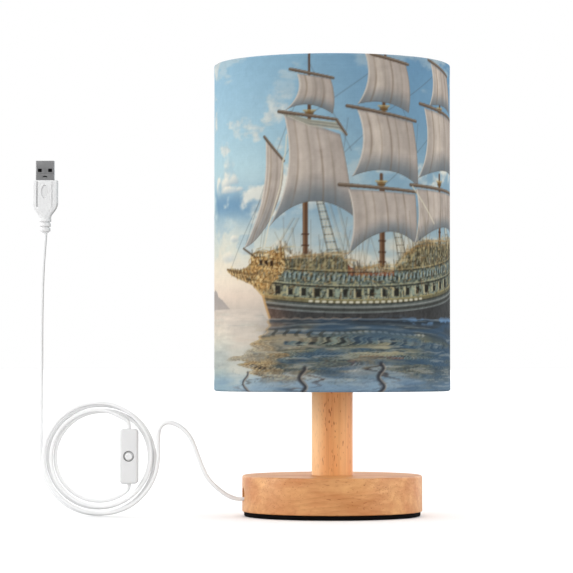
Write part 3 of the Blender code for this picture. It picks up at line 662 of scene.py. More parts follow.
# ---------------------------------------------------------------- the shade's print
# A three-masted ship on a calm sea, painted by rule on the flattened skin. X is the distance
# round the shade from its front (right is positive), Z the height above its lower edge.
AROUND = 2 * math.pi * SHADE_R
COLS, ROWS = 760, 334
X, Z = np.meshgrid(np.linspace(-AROUND / 2, AROUND / 2, COLS + 1),
                   np.linspace(0.0, SHADE_H, ROWS + 1))
ART = np.zeros(X.shape + (3,))
WATER = 45.5                             # water line
INK = 0.80                               # how dark the cloth takes the ink


def bilinear(table, i0, i1, j0, j1, across, up):
    low = table[j0, i0] * (1 - across) + table[j0, i1] * across
    high = table[j1, i0] * (1 - across) + table[j1, i1] * across
    return low * (1 - up) + high * up


def noise(cells_x, cells_z, seed, x=X, z=Z):
    """Smooth value noise, by cells round the shade (it closes on itself) and up it."""
    table = np.random.default_rng(seed).random((cells_z + 4, cells_x))
    x, z = (x / AROUND + 0.5) * cells_x, clamp(z / SHADE_H) * cells_z
    i, j = np.floor(x).astype(int), np.floor(z).astype(int)
    return bilinear(table, i % cells_x, (i + 1) % cells_x, j, j + 1,
                    step(0, 1, x - i), step(0, 1, z - j))


def fbm(cells_x, cells_z, seed, octaves=5, gain=0.5, x=X, z=Z):
    """Octaves of noise added up."""
    total, weight, whole = 0.0, 1.0, 0.0
    for k in range(octaves):
        total = total + weight * noise(cells_x * 2 ** k, cells_z * 2 ** k, seed + 17 * k, x, z)
        whole += weight
        weight *= gain
    return total / whole


def blend(under, over, mask):
    mask = mask[..., None]
    return under * (1 - mask) + over * mask


def paint(mask, colour):
    ART[:] = blend(ART, colour, clamp(mask))


def by_height(*stops):
    """A colour for each height, from (height, colour) stops."""
    heights = [h for h, _ in stops]
    colours = np.array([c for _, c in stops], float) / 255.0
    return np.stack([np.interp(Z, heights, colours[:, k]) for k in range(3)], -1)


def window(points, margin):
    """The part of the picture around some points."""
    points = np.asarray(points, float)
    x0, z0 = points.min(0) - margin
    x1, z1 = points.max(0) + margin
    i0, i1 = np.searchsorted(X[0], (x0, x1))
    j0, j1 = np.searchsorted(Z[:, 0], (z0, z1))
    return (slice(max(j0 - 1, 0), min(j1 + 1, ROWS + 1)),
            slice(max(i0 - 1, 0), min(i1 + 1, COLS + 1)))


def line_distance(points, part):
    x, z = X[part], Z[part]
    best = np.full(x.shape, 1e9)
    for (ax, az), (bx, bz) in zip(points, points[1:]):
        dx, dz = bx - ax, bz - az
        t = clamp(((x - ax) * dx + (z - az) * dz) / max(dx * dx + dz * dz, 1e-9))
        best = np.minimum(best, np.hypot(x - ax - t * dx, z - az - t * dz))
    return best


def stroke(points, width, colour, strength=1.0, soft=0.45):
    part = window(points, width + 2)
    mask = clamp((width / 2 - line_distance(points, part)) / soft * 0.5 + 0.5) * strength
    ART[part] = blend(ART[part], colour, mask)


def strokes(*rows):
    """Strokes from rows of points, width, colour of 0 to 255, strength."""
    for points, width, colour, strength in rows:
        stroke(points, width, rgb(*colour), strength)


def polygon(points, soft=0.5):
    """A soft mask of a polygon."""
    part = window(points, 3)
    x, z = X[part], Z[part]
    inside = np.zeros(x.shape, bool)
    for (ax, az), (bx, bz) in zip(points, points[1:] + points[:1]):
        crosses = (az > z) != (bz > z)
        at = ax + (z - az) * (bx - ax) / (bz - az if abs(bz - az) > 1e-12 else 1e-12)
        inside ^= crosses & (x < at)
    distance = line_distance(points + points[:1], part)
    mask = np.zeros(X.shape)
    mask[part] = clamp(np.where(inside, distance, -distance) / soft * 0.5 + 0.5)
    return mask


def box(x, z, half_w, half_h):
    return polygon([(x - half_w, z - half_h), (x + half_w, z - half_h),
                    (x + half_w, z + half_h), (x - half_w, z + half_h)])


MAST_DARK, MAST_LIGHT = rgb(96, 70, 52), rgb(150, 116, 88)
SPAR_DARK, SPAR_LIGHT = rgb(98, 84, 72), rgb(158, 140, 120)


def spar(start, end, width0, width1):
    """A tapering pole with a lit upper edge."""
    a, b = np.array(start, float), np.array(end, float)
    count = 14
    for k in range(count):
        p, q = a + (b - a) * k / count, a + (b - a) * (k + 1) / count
        stroke([tuple(p), tuple(q)], width0 + (width1 - width0) * k / count, SPAR_DARK)
    up = np.array((-(b - a)[1], (b - a)[0]))
    up = up / np.linalg.norm(up) * (width0 + width1) / 7
    if up[1] < 0 or (abs(up[1]) < 1e-3 and up[0] > 0):
        up = -up
    stroke([tuple(a + up), tuple(b + up)], min(width0, width1) * 0.35, SPAR_LIGHT, 0.8)


def sail(top_left, top_right, foot_right, foot_left, bow_left, bow_right, arch, cloths, warm,
         seed, low=1.0):
    """A square sail full of wind: bowed sides, an arched foot and dark seams between cloths."""
    (x_tl, z_tl), (x_tr, z_tr) = top_left, top_right
    (x_fr, z_fr), (x_fl, z_fl) = foot_right, foot_left
    down_l = np.clip((z_tl - Z) / (z_tl - z_fl), 0.0, 1.15)
    down_r = np.clip((z_tr - Z) / (z_tr - z_fr), 0.0, 1.15)
    left = x_tl + (x_fl - x_tl) * down_l ** 2.6 + bow_left * 4 * down_l * (1 - down_l)
    right = x_tr + (x_fr - x_tr) * down_r + bow_right * 4 * down_r * (1 - down_r)
    width = np.maximum(right - left, 1e-3)
    across = (X - left) / width
    top = z_tl + (z_tr - z_tl) * (X - x_tl) / (x_tr - x_tl)
    share = clamp((X - x_fl) / (x_fr - x_fl))
    foot = z_fl + (z_fr - z_fl) * share + arch * 4 * share * (1 - share)
    down = (top - Z) / np.maximum(top - foot, 1e-3)
    mask = clamp((X - left) / 0.7 + 0.5) * clamp((right - X) / 0.7 + 0.5)
    mask = mask * clamp((top - Z) / 0.7 + 0.5) * clamp((Z - foot) / 0.7 + 0.5)
    mask = mask * (Z < max(z_tl, z_tr) + 1)
    lit = clamp(1 - abs(across - 0.24) / 0.26)
    colour = blend(rgb(178, 167, 157), rgb(220, 206, 190), warm * lit)
    folds = (np.sin(across * 21 + 4 * noise(40, 6, seed)) * 0.6
             + np.sin(across * 57 + 6 * noise(30, 8, seed + 1)) * 0.4)
    colour = colour * (1 + 0.045 * folds * (0.5 + clamp(down)))[..., None]
    colour = colour * (1 + 0.16 * (fbm(60, 26, seed + 5, 3) - 0.5))[..., None]
    colour = blend(colour, rgb(100, 112, 120),
                   step(0.58, 1.02, down + 0.10 * (across - 0.5)) * 0.8 * low)
    colour = blend(colour, rgb(150, 138, 130), step(0.80, 1.0, across) * 0.30)
    colour = blend(colour, rgb(96, 104, 112), clamp(1 - down / 0.055) * 0.35)
    paint(mask, colour)
    for k in range(1, cloths):            # seams lean with the belly of the sail
        at = (k / cloths + 0.022 * math.sin(k * 2.3 + seed)
              + (0.020 * math.sin(k * 1.1 + seed) - 0.012) * (1 - down))
        wear_and_highlight = 0.55 + 0.45 * step(0.30, 0.55, noise(70, 12, seed + k))
        seam = clamp(1.1 - abs(across - at) * width / 0.9)
        paint(mask * seam * wear_and_highlight * (0.44 if k % 2 else 0.24), rgb(116, 98, 80))
    paint(mask * clamp(1 - (X - left) / 1.3) * 0.75, rgb(236, 226, 210))
    paint(mask * clamp(1 - (right - X) / 0.8) * 0.5, rgb(120, 106, 92))
    paint(mask * clamp(1 - abs(Z - foot) / 0.7) * 0.6, rgb(98, 92, 86))


def paint_sky():
    left = by_height(
        (0, (200, 192, 180)), (52, (205, 192, 178)), (60, (226, 208, 190)), (70, (235, 220, 200)),
        (88, (214, 216, 203)), (106, (196, 209, 207)), (124, (188, 210, 214)),
        (142, (180, 208, 215)), (162, (168, 200, 213)), (184, (157, 192, 210)),
        (210, (148, 185, 206)))
    right = by_height(
        (0, (190, 186, 176)), (52, (196, 190, 178)), (66, (205, 205, 194)), (88, (170, 186, 188)),
        (110, (140, 168, 182)), (142, (134, 166, 184)), (170, (118, 155, 180)),
        (210, (108, 148, 178)))
    share = step(-75, 60, X + 18 * (noise(24, 8, 5) - 0.5)) * (1 - step(150, 235, X))
    ART[:] = blend(left, right, share)
    # high broken cloud, lit from the left
    cloud = fbm(14, 9, 11, 6, 0.55)
    lit = clamp(0.5 + (cloud - fbm(14, 9, 11, 6, 0.55, X - 2.4, Z - 1.6)) * 9)
    puff = (step(0.575, 0.69, cloud) * step(112, 150, Z)
            * (0.35 + 0.65 * step(0.35, 0.6, noise(9, 4, 31))))
    paint(puff * 0.72, blend(rgb(196, 200, 198), rgb(226, 222, 210), lit))
    # heaped cloud over the horizon: white heads lit from the left on a blue-grey foot
    cloud = fbm(15, 9, 53, 5, 0.5)
    lit = clamp(0.5 + (cloud - fbm(15, 9, 53, 5, 0.5, X - 2.6, Z + 3.4)) * 7)
    foot = (np.exp(-((Z - 117 - 9 * (noise(26, 3, 47) - 0.5)) / 11.0) ** 2)
            * step(0.28, 0.50, cloud + 0.10) * (1 - 0.45 * step(-70, 10, X)))
    paint(foot * 0.92, rgb(112, 150, 178))
    heaped = cloud + 0.10 * np.exp(-((Z - 131) / 9.0) ** 2) - 0.10 * step(140, 156, Z)
    heads = step(0.50, 0.60, heaped) * step(96, 112, Z) * step(154, 140, Z)
    paint(heads * 0.80 * (0.30 + 0.70 * lit), blend(rgb(150, 176, 192), rgb(238, 232, 216), lit))
    # small clouds: x, z, half width, half height
    for x, z, w, h in ((-84, 130, 9, 6), (-73, 133, 7, 5), (-79, 127, 13, 3.6),
                       (-66, 127.5, 5, 2.6), (-60, 88, 7, 4), (-80, 84, 10, 5), (-72, 96, 6, 3.4)):
        rag = 0.55 * (fbm(70, 36, 59 + int(w), 3) - 0.5)
        body = clamp((1 - np.hypot((X - x) / w, (Z - z) / h) + rag) * 2.2)
        up = clamp((Z - z) / h * 0.6 + 0.55 - 0.25 * (X - x) / w)
        paint(body * step(z - 0.75 * h, z - 0.1 * h, Z) * 0.85,
              blend(rgb(150, 172, 188), rgb(242, 234, 216), up))
    glow = step(0.46, 0.62, fbm(18, 14, 67, 4)) * step(64, 78, Z) * step(108, 90, Z)
    paint(glow * 0.55, rgb(236, 222, 198))
    low = step(0.50, 0.62, fbm(24, 20, 69, 4)) * step(84, 92, Z) * step(112, 102, Z)
    paint(low * 0.45, rgb(150, 180, 198))
    wisps = step(0.56, 0.70, fbm(22, 30, 71, 4)) * step(182, 194, Z)
    paint(wisps * step(0.35, 0.6, noise(12, 6, 73)) * 0.40, rgb(206, 210, 204))
    # far land under haze: from x, to x, height, seed
    for x0, x1, height, seed in ((-132, -63, 12.5, 3), (-226, -168, 9.0, 4), (172, 232, 14.0, 6)):
        t = (X - x0) / (x1 - x0)
        within = (t > 0) & (t < 1)
        hill = clamp(1 - abs(2 * t - 0.62) ** 1.6) * (0.65 + 0.7 * fbm(50, 2, seed, 4))
        ridge = 51.5 + height * hill * within
        paint(clamp((ridge - Z) / 0.8 + 0.5) * within * (Z > 51) * 0.85,
              blend(rgb(158, 152, 148), rgb(212, 196, 182), 0.2 * step(62, 52, Z)))


def sheer(x, height, curve=0.00115):
    """The height of a line along the hull, which rises towards both ends."""
    return height + curve * (x - 12) ** 2


# outline of the hull: (x, z), from the water line at the bow (left) round to the stern
HULL = [
    (-41, 45.5), (-44, 54), (-46.5, 60), (-55, 67.5), (-66, 70.5), (-75.5, 73.5), (-80.5, 77.3),
    (-74, 77.6), (-66, 76.6), (-60, 78.0), (-56, 80.5), (-55.5, 86.5), (-50, 87.4), (-44, 87.0),
    (-38, 88.5), (-31, 90.6), (-29.5, 82.6), (-20, 83.4), (-8, 84.8), (6, 85.8), (8, 81.5),
    (12, 77.2), (25, 75.6), (40, 76.6), (43, 81.8), (48, 85.6), (54, 89.5), (60, 92.6),
    (66, 94.4), (84, 94.0), (103, 95.0), (118, 97.4), (132, 101.5), (146, 107.0), (150, 101.0),
    (149, 84.0), (143, 66.0), (138, 52.0), (136, 45.5)]
# lines along the hull: height, width, colour, strength
HULL_LINES = [
    (65.0, 1.1, (58, 58, 52), 0.9), (66.1, 0.6, (176, 172, 140), 0.8),
    (74.4, 0.9, (64, 60, 50), 0.8), (75.3, 0.6, (190, 176, 128), 0.7),
    (57.2, 0.7, (164, 150, 104), 0.85), (54.6, 0.8, (52, 52, 50), 0.8),
    (52.6, 0.8, (158, 160, 156), 0.75), (49.3, 0.6, (142, 146, 146), 0.7),
    (50.9, 1.3, (58, 56, 54), 0.7)]


def paint_hull():
    hull = polygon(HULL)
    up = Z - sheer(X, 0.0)
    colour = rgb(112, 104, 80)
    for height, tone in ((74.6, (98, 108, 100)), (65.0, (122, 130, 116)), (57.2, (118, 112, 84)),
                         (54.6, (88, 94, 90)), (49.0, (66, 66, 66))):
        colour = blend(colour, rgb(*tone), step(0.5, -0.5, up - height))
    colour = blend(colour, rgb(172, 138, 92), step(-28, -46, X) * step(53, 60, Z) * 0.85)
    colour = blend(colour, rgb(122, 92, 76), step(-18, -44, X) * step(57, 52, Z) * 0.6)
    colour = colour * (0.76 + 0.30 * fbm(200, 60, 71, 3) + 0.16 * noise(640, 180, 77))[..., None]
    paint(hull, blend(colour, rgb(66, 74, 74), step(60, 100, X) * 0.26))
    inside = hull > 0.5

    # carved work: small bright and dark touches
    touches = noise(420, 170, 81)
    area = inside & (Z > sheer(X, 57.5)) & (X < 148)
    paint(area * step(0.66, 0.80, touches) * 0.55, rgb(186, 176, 130))
    paint(area * step(0.34, 0.20, touches) * 0.6, rgb(52, 50, 40))
    paint((inside & (X > 10) & (X < 41) & (Z > 72)) * 0.8, rgb(118, 62, 46))
    for x in np.arange(12, 41, 2.3):
        stroke([(x, 72.5), (x, 76.2)], 0.8, rgb(176, 128, 92), 0.8)
    # gun ports and their lids
    for k, x in enumerate(np.arange(-35, 132, 8.6)):
        z = float(sheer(x, 61.2))
        w, h = (2.9, 4.6) if k % 3 else (3.6, 5.2)
        paint(box(x, z, w / 2, h / 2) * 0.92, rgb(40, 38, 34))
        edge = x - w / 2 - 0.8
        stroke([(edge, z - h / 2), (edge, z + h / 2)], 0.9, rgb(196, 186, 150), 0.85)
        if k % 3 == 1:
            paint(box(x + 4.1, z, 1.5, 2.4) * 0.6, rgb(150, 166, 152))
    for x in np.arange(-30, 104, 3.1):    # knees under the upper rail
        z = float(sheer(x, 70.9))
        stroke([(x, z - 1.4), (x + 0.5, z + 1.6)], 1.1, rgb(150, 170, 172), 0.8)
        stroke([(x + 1.2, z - 1.4), (x + 1.5, z + 1.0)], 0.8, rgb(40, 46, 46), 0.7)
    for height, width, tone, strength in HULL_LINES:
        line = clamp((width / 2 - abs(Z - sheer(X, height))) / 0.4 * 0.5 + 0.5)
        paint(hull * line * strength * (X > -60) * (X < 150), rgb(*tone))
    for x in np.arange(-14, 62, 4.2):
        z = float(sheer(x, 55.7))
        stroke([(x, z), (x + 1.3, float(sheer(x, 55.7)))], 1.4, rgb(224, 220, 200), 0.85)
    # forward castle in gold, with windows, and the beak
    castle = polygon([(-56, 68), (-55.5, 86.5), (-44, 87), (-31, 90.4), (-30, 76), (-36, 70),
                      (-46, 62)])
    gold = rgb(186, 142, 84) * (0.75 + 0.5 * noise(420, 170, 91))[..., None]
    paint(castle * 0.55, gold)
    paint(castle * step(0.62, 0.8, noise(380, 150, 93)) * 0.7, rgb(232, 206, 152))
    paint(castle * step(0.36, 0.2, noise(380, 150, 95)) * 0.6, rgb(92, 58, 30))
    for x, z in ((-47.5, 80.8), (-43.5, 80.4), (-39.5, 80.2)):
        paint(box(x, z, 1.1, 1.7), rgb(54, 40, 30))
    strokes(
        ([(-54, 85.4), (-44, 85.6), (-34, 87.6)], 1.3, (236, 218, 180), 0.9),
        ([(-55, 78.6), (-44, 76.8), (-34, 75.2)], 1.1, (214, 174, 110), 0.9),
        ([(-81, 77.2), (-68, 75.2), (-57, 73.4), (-48, 74.6)], 1.3, (120, 96, 66), 0.9),
        ([(-80, 76.0), (-66, 72.0), (-54, 67.0), (-46, 60)], 1.2, (206, 176, 124), 0.9),
        ([(-46, 60), (-44, 54), (-41, 46)], 1.6, (196, 158, 108), 0.9),
        ([(-62.5, 90.0), (-57, 87.0), (-52.5, 84.6)], 1.3, (92, 78, 62), 0.9))
    for t in np.linspace(0, 1, 9):
        a = np.array((-79.5, 77.2)) * (1 - t) + np.array((-57, 77.0)) * t
        b = np.array((-78.0, 75.2)) * (1 - t) + np.array((-52, 66.5)) * t
        stroke([tuple(a), tuple(b)], 0.6, rgb(86, 70, 50), 0.8)
    # stern gallery
    for z, tone in ((98.5, (172, 142, 92)), (91.0, (150, 126, 84)), (82.0, (128, 120, 92))):
        stroke([(118, z - 1.2), (148, z + 2)], 1.2, rgb(*tone))
    for x in np.arange(121, 147, 4.6):
        for z in (86.5, 94.6):
            paint(box(x, z, 1.2, 1.8) * 0.9, rgb(228, 196, 120))
    # upper works behind the waist and posts of the rails
    for x in np.arange(-28, 7, 2.6):
        tone = rgb(84, 94, 92) if int(x) % 2 else rgb(166, 152, 116)
        stroke([(x, 76.5), (x + 0.3, 83.0)], 0.8, tone, 0.75)
    for x in np.arange(46, 148, 2.7):
        z = float(np.interp(x, [46, 66, 103, 132, 148], [85, 93, 93.6, 100, 106]))
        tone = rgb(72, 66, 50) if int(x) % 2 else rgb(172, 154, 112)
        stroke([(x, z - 6.5), (x, z)], 0.8, tone, 0.7)
    for points in ([(-29, 83.4), (6, 86.6)],
                   [(41, 77.2), (50, 86.8), (66, 95.0), (103, 95.8), (132, 102.3), (147, 108)],
                   [(8, 82), (14, 77.6), (40, 77.2)]):
        stroke(points, 1.1, rgb(178, 150, 104), 0.9)


# the deck edge: x, z
RAIL = [(-56, 86), (-44, 87), (-31, 90), (-20, 83.4), (6, 85.8), (14, 77.0), (40, 76.6),
        (48, 85.6), (60, 92.6), (84, 94), (118, 97.4), (146, 107)]


def paint_clutter():
    """Fine broken work over the hull, as many small strokes at random."""
    rng = np.random.default_rng(4711)
    draw = rng.uniform
    hull = polygon(HULL) > 0.5
    tones = [rgb(*c) for c in (
        (70, 60, 46), (46, 46, 42), (190, 168, 122), (160, 128, 82), (206, 198, 170),
        (134, 150, 146), (112, 82, 56), (92, 100, 94))]
    gilding = [rgb(*c) for c in ((222, 190, 132), (104, 72, 40), (168, 122, 66))]

    def on_hull(x, z):
        j, i = int(round(z / SHADE_H * ROWS)), int(round((x / AROUND + 0.5) * COLS))
        return 0 <= j <= ROWS and 0 <= i <= COLS and hull[j, i]

    def rail(x):
        return float(np.interp(x, [p[0] for p in RAIL], [p[1] for p in RAIL]))

    for _ in range(1500):                 # carving on the topsides
        x, up = draw(-52, 148), draw(57, 96)
        z = float(sheer(x, up, 0.0011))
        if not on_hull(x, z) or (66.5 > up > 58.5 and rng.random() < 0.62):
            continue
        tone = tones[int(rng.integers(8))]
        length = draw(0.8, 3.2)
        lean = draw(-0.7, 0.7) if rng.random() < 0.4 else math.pi / 2 + draw(-0.25, 0.25)
        end = (x + length * math.cos(lean), z + length * math.sin(lean))
        stroke([(x, z), end], draw(0.4, 0.9), tone, draw(0.35, 0.75))
    for _ in range(520):                  # gear and rails standing on the deck edge
        x = draw(-55, 147)
        z = rail(x) - draw(0, 2.5)
        tone = tones[int(rng.integers(7))]
        end = (x + draw(-1.2, 1.2), z + draw(1.5, 6.5) * draw(0.5, 1.0))
        stroke([(x, z), end], draw(0.4, 0.8), tone, draw(0.3, 0.65))
    for _ in range(110):                  # short spans of railing
        x = draw(-54, 140)
        z = rail(x) + draw(-1.5, 3.2)
        end = (x + draw(3, 8), z + draw(-0.8, 1.0))
        stroke([(x, z), end], 0.6, tones[2 + int(rng.integers(3))], 0.5)
    for _ in range(90):                   # curled gilding at the bow
        x, z = draw(-76, -34), draw(62, 90)
        if not on_hull(x, z):
            continue
        r, start = draw(0.9, 2.4), draw(0, 2 * math.pi)
        curl = [(x + r * math.cos(start + 0.8 * k), z + r * math.sin(start + 0.8 * k))
                for k in range(5)]
        stroke(curl, 0.55, gilding[int(rng.integers(3))], 0.7)
    for _ in range(46):                   # slack ropes from the rails up to the rig
        x = draw(-50, 140)
        z = rail(x)
        stroke([(x, z), (x + draw(-7, 7), z + draw(8, 26))], 0.45, rgb(120, 108, 88), 0.38)


def ladder(top, foot, width0, width1, rungs):
    """Shrouds with their rungs: a narrow rope ladder leaning from mast to rail."""
    pale, dark = rgb(204, 198, 178), rgb(96, 90, 76)
    for k in range(1, rungs):
        t = k / rungs
        x, z = top[0] + (foot[0] - top[0]) * t, top[1] + (foot[1] - top[1]) * t
        half = (width0 + (width1 - width0) * t) / 2
        stroke([(x - half, z), (x + half, z + 0.3)], 0.6, pale if k % 3 else dark, 0.8)
    for k, tone in enumerate((dark, pale, pale, dark)):
        side = k / 3 - 0.5
        stroke([(top[0] + side * width0, top[1]), (foot[0] + side * width1, foot[1])],
               0.6, tone, 0.85)


# sails: top left, top right, foot right, foot left, bow of left and right side, arch of the foot,
# cloths, warmth, seed, strength of the low shadow where it isn't 1
HEAD_SAIL = ((-44.0, 158.0), (-31.5, 145.0), (-41.5, 106.0), (-61.8, 90.5),
             1.0, 3.5, -3.0, 3, 0.55, 9, 0.5)
FORE_SAILS = [
    ((-30.8, 173.0), (5.0, 160.0), (13.0, 109.5), (-41.5, 103.0), 4.5, 1.0, 12.0, 5, 0.30, 21),
    ((-22.0, 198.0), (-1.0, 194.6), (0.4, 172.6), (-30.0, 175.4), 2.0, 1.6, 4.5, 4, 0.35, 23)]
MAIN_SAILS = [
    ((10.0, 126.0), (57.5, 123.8), (58.0, 92.5), (9.5, 84.5), 3.5, 1.0, 11.0, 6, 0.22, 25),
    ((15.6, 176.0), (55.2, 168.8), (60.0, 129.0), (12.4, 133.8), 4.5, 1.4, 6.5, 6, 0.50, 27),
    ((20.0, 213.0), (49.4, 205.0), (52.0, 174.6), (16.0, 178.8), 3.5, 2.2, 3.6, 5, 0.45, 29)]
MIZZEN_SAILS = [
    ((58.5, 127.4), (121.0, 125.4), (118.0, 99.6), (56.6, 92.4), 2.5, 1.0, 8.0, 7, 0.28, 31),
    ((66.2, 178.6), (118.0, 172.6), (121.0, 136.4), (60.2, 134.2), 4.0, 1.2, 5.0, 6, 0.50, 33),
    ((73.2, 207.2), (98.6, 200.8), (106.0, 177.4), (71.6, 180.4), 3.0, 2.0, 2.6, 4, 0.50, 35)]
STERN_SAIL = ((128.0, 148.0), (140.0, 142.0), (146.0, 112.0), (122.0, 116.0),
              1.0, 2.0, 2.0, 4, 0.4, 37)
# spars: left end, right end, width at each
FORE_SPARS = [((-34.4, 174.7), (2.8, 169.0), 2.1, 1.6), ((2.8, 169.0), (9.0, 159.6), 1.4, 1.2),
              ((-26.8, 200.9), (0.8, 194.9), 1.8, 1.5)]
MAIN_SPARS = [((4.5, 128.6), (59.4, 125.2), 2.2, 1.8), ((9.4, 177.6), (58.0, 169.6), 2.1, 1.7),
              ((25.0, 210.2), (51.4, 204.8), 1.9, 1.6)]
MIZZEN_SPARS = [((53.6, 129.6), (124.0, 126.4), 2.1, 1.7),
                ((61.8, 181.0), (121.0, 172.8), 2.0, 1.6),
                ((70.4, 209.2), (100.0, 201.2), 1.7, 1.4)]
# light standing rigging: from, to
RIGGING = [
    ((-14.4, 200), (-61, 91)), ((-14.4, 171), (-76, 77)), ((33, 205), (-14, 172)),
    ((33, 172), (-15, 128)), ((85, 205), (34, 174)), ((85, 172), (33, 128)),
    ((-14.3, 205), (12, 150)), ((34, 205), (60, 150)), ((10, 170), (4.0, 128)),
    ((60, 168), (56, 128))]


def paint_rig():
    for top, foot, width0, width1, rungs in (
            ((-9.5, 126), (1.0, 85), 3.4, 6.4, 26), ((38.0, 120), (47.5, 82), 3.4, 6.4, 24),
            ((89.0, 124), (99.0, 95), 2.6, 5.4, 18)):
        ladder(top, foot, width0, width1, rungs)
    for x0, z0, x1, z1 in (       # paired ropes from the masts to the rails
            (-25, 108, -37, 89), (-22, 108, -31, 90), (-26, 102, -24, 86), (-5, 126, 7, 86),
            (1, 124, 12, 82), (26, 118, 20, 80), (52, 112, 56, 88), (44, 118, 54, 86),
            (76, 118, 70, 95), (66, 110, 62, 93)):
        stroke([(x0, z0), (x1, z1)], 0.5, rgb(176, 172, 156), 0.55)
        stroke([(x0 + 1.1, z0), (x1 + 1.0, z1)], 0.45, rgb(112, 106, 92), 0.45)
    # lower and upper masts
    for x, z0, z1, w in ((-16.8, 83, 128, 3.4), (32.2, 79, 126, 3.6), (84.8, 93, 128, 2.6)):
        stroke([(x, z0), (x, z1)], w, MAST_DARK)
        stroke([(x - w * 0.28, z0), (x - w * 0.28, z1)], w * 0.25, MAST_LIGHT, 0.8)
        for up in (2, 8, 15):
            stroke([(x - w * 0.6, z0 + up), (x + w * 0.6, z0 + up)], 1.0, rgb(70, 50, 38), 0.8)
    stroke([(-14.4, 168), (-14.3, 211)], 1.3, MAST_DARK)
    stroke([(33.0, 168), (34.5, 211)], 1.3, MAST_DARK)
    for x, z in ((-14.2, 173.0), (33.4, 176.2), (31.6, 129.2), (84.4, 131.2), (85.0, 177.8),
                 (-15.8, 128)):           # mast tops
        stroke([(x, z - 5), (x, z + 6)], 2.2, MAST_DARK, 0.9)
        platform = polygon([(x - 3.4, z + 1.6), (x + 3.4, z + 1.6), (x + 1.8, z - 1.2),
                            (x - 1.8, z - 1.2)])
        paint(platform * 0.9, rgb(128, 100, 62))
        stroke([(x - 3.8, z + 2.0), (x + 3.8, z + 2.0)], 0.8, rgb(190, 164, 108), 0.85)
        stroke([(x - 2.6, z - 0.2), (x + 2.4, z - 0.2)], 0.6, rgb(78, 58, 40), 0.8)
    for start, end in RIGGING:
        stroke([start, end], 0.45, rgb(86, 88, 86), 0.40)
    sail(*HEAD_SAIL)
    spar((-45.0, 159.4), (-30.8, 143.8), 1.7, 1.3)
    for row in FORE_SAILS:
        sail(*row)
    for k, tone in enumerate(((170, 168, 150), (132, 132, 120), (178, 174, 158), (122, 122, 112),
                              (188, 184, 168))):      # rolled cloth under the fore topsail's yard
        t = k / 4.0
        stroke([(-31 + 3 * t, 173.4 - 1.7 * t), (-14, 168.6 - 3.0 * t),
                (2 + 2.5 * t, 166.6 - 3.6 * t), (3.0 + 6.0 * t, 168 - 8.0 * t)],
               1.7 - 0.2 * k, rgb(*tone), 0.9)
    for row in FORE_SPARS:
        spar(*row)
    for sails, spars in ((MAIN_SAILS, MAIN_SPARS), (MIZZEN_SAILS, MIZZEN_SPARS)):
        for row in sails:
            sail(*row)
        for row in spars:
            spar(*row)
    stroke([(150.0, 101.0), (128.0, 150.0)], 1.6, MAST_DARK)
    sail(*STERN_SAIL)
    for points in ([(-31.4, 144.4), (-33.4, 128), (-41.4, 104.5)],    # pale ropes in front
                   [(-41.4, 104.5), (-44.5, 92), (-47.0, 87)],
                   [(55.2, 128.6), (77.0, 106.2)], [(-29, 160), (-30, 148), (-31.5, 144)]):
        stroke(points, 0.8, rgb(222, 214, 190), 0.9)


def reflection(depth):
    """The picture above the water line, upside down, drawn out and shaken."""
    sway = (1.5 * np.sin(Z * 0.42 + 2.2 * noise(10, 8, 113)) + 2.0 * (fbm(26, 60, 117, 3) - 0.5)
            + 0.7 * np.sin(Z * 1.35 + X * 0.03))
    lift = (fbm(22, 50, 119, 3) - 0.5) * (2.0 + 0.22 * depth)
    x = np.clip(X + (0.5 + 0.13 * depth) * sway, -AROUND / 2 + 1, AROUND / 2 - 1)
    z = np.clip(WATER + depth * 1.12 + 1.0 + lift, 46, SHADE_H - 1)
    i, j = (x / AROUND + 0.5) * COLS, z / SHADE_H * ROWS
    i0, j0 = np.floor(i).astype(int), np.floor(j).astype(int)
    return bilinear(ART, i0, np.minimum(i0 + 1, COLS), j0, np.minimum(j0 + 1, ROWS),
                    (i - i0)[..., None], (j - j0)[..., None])


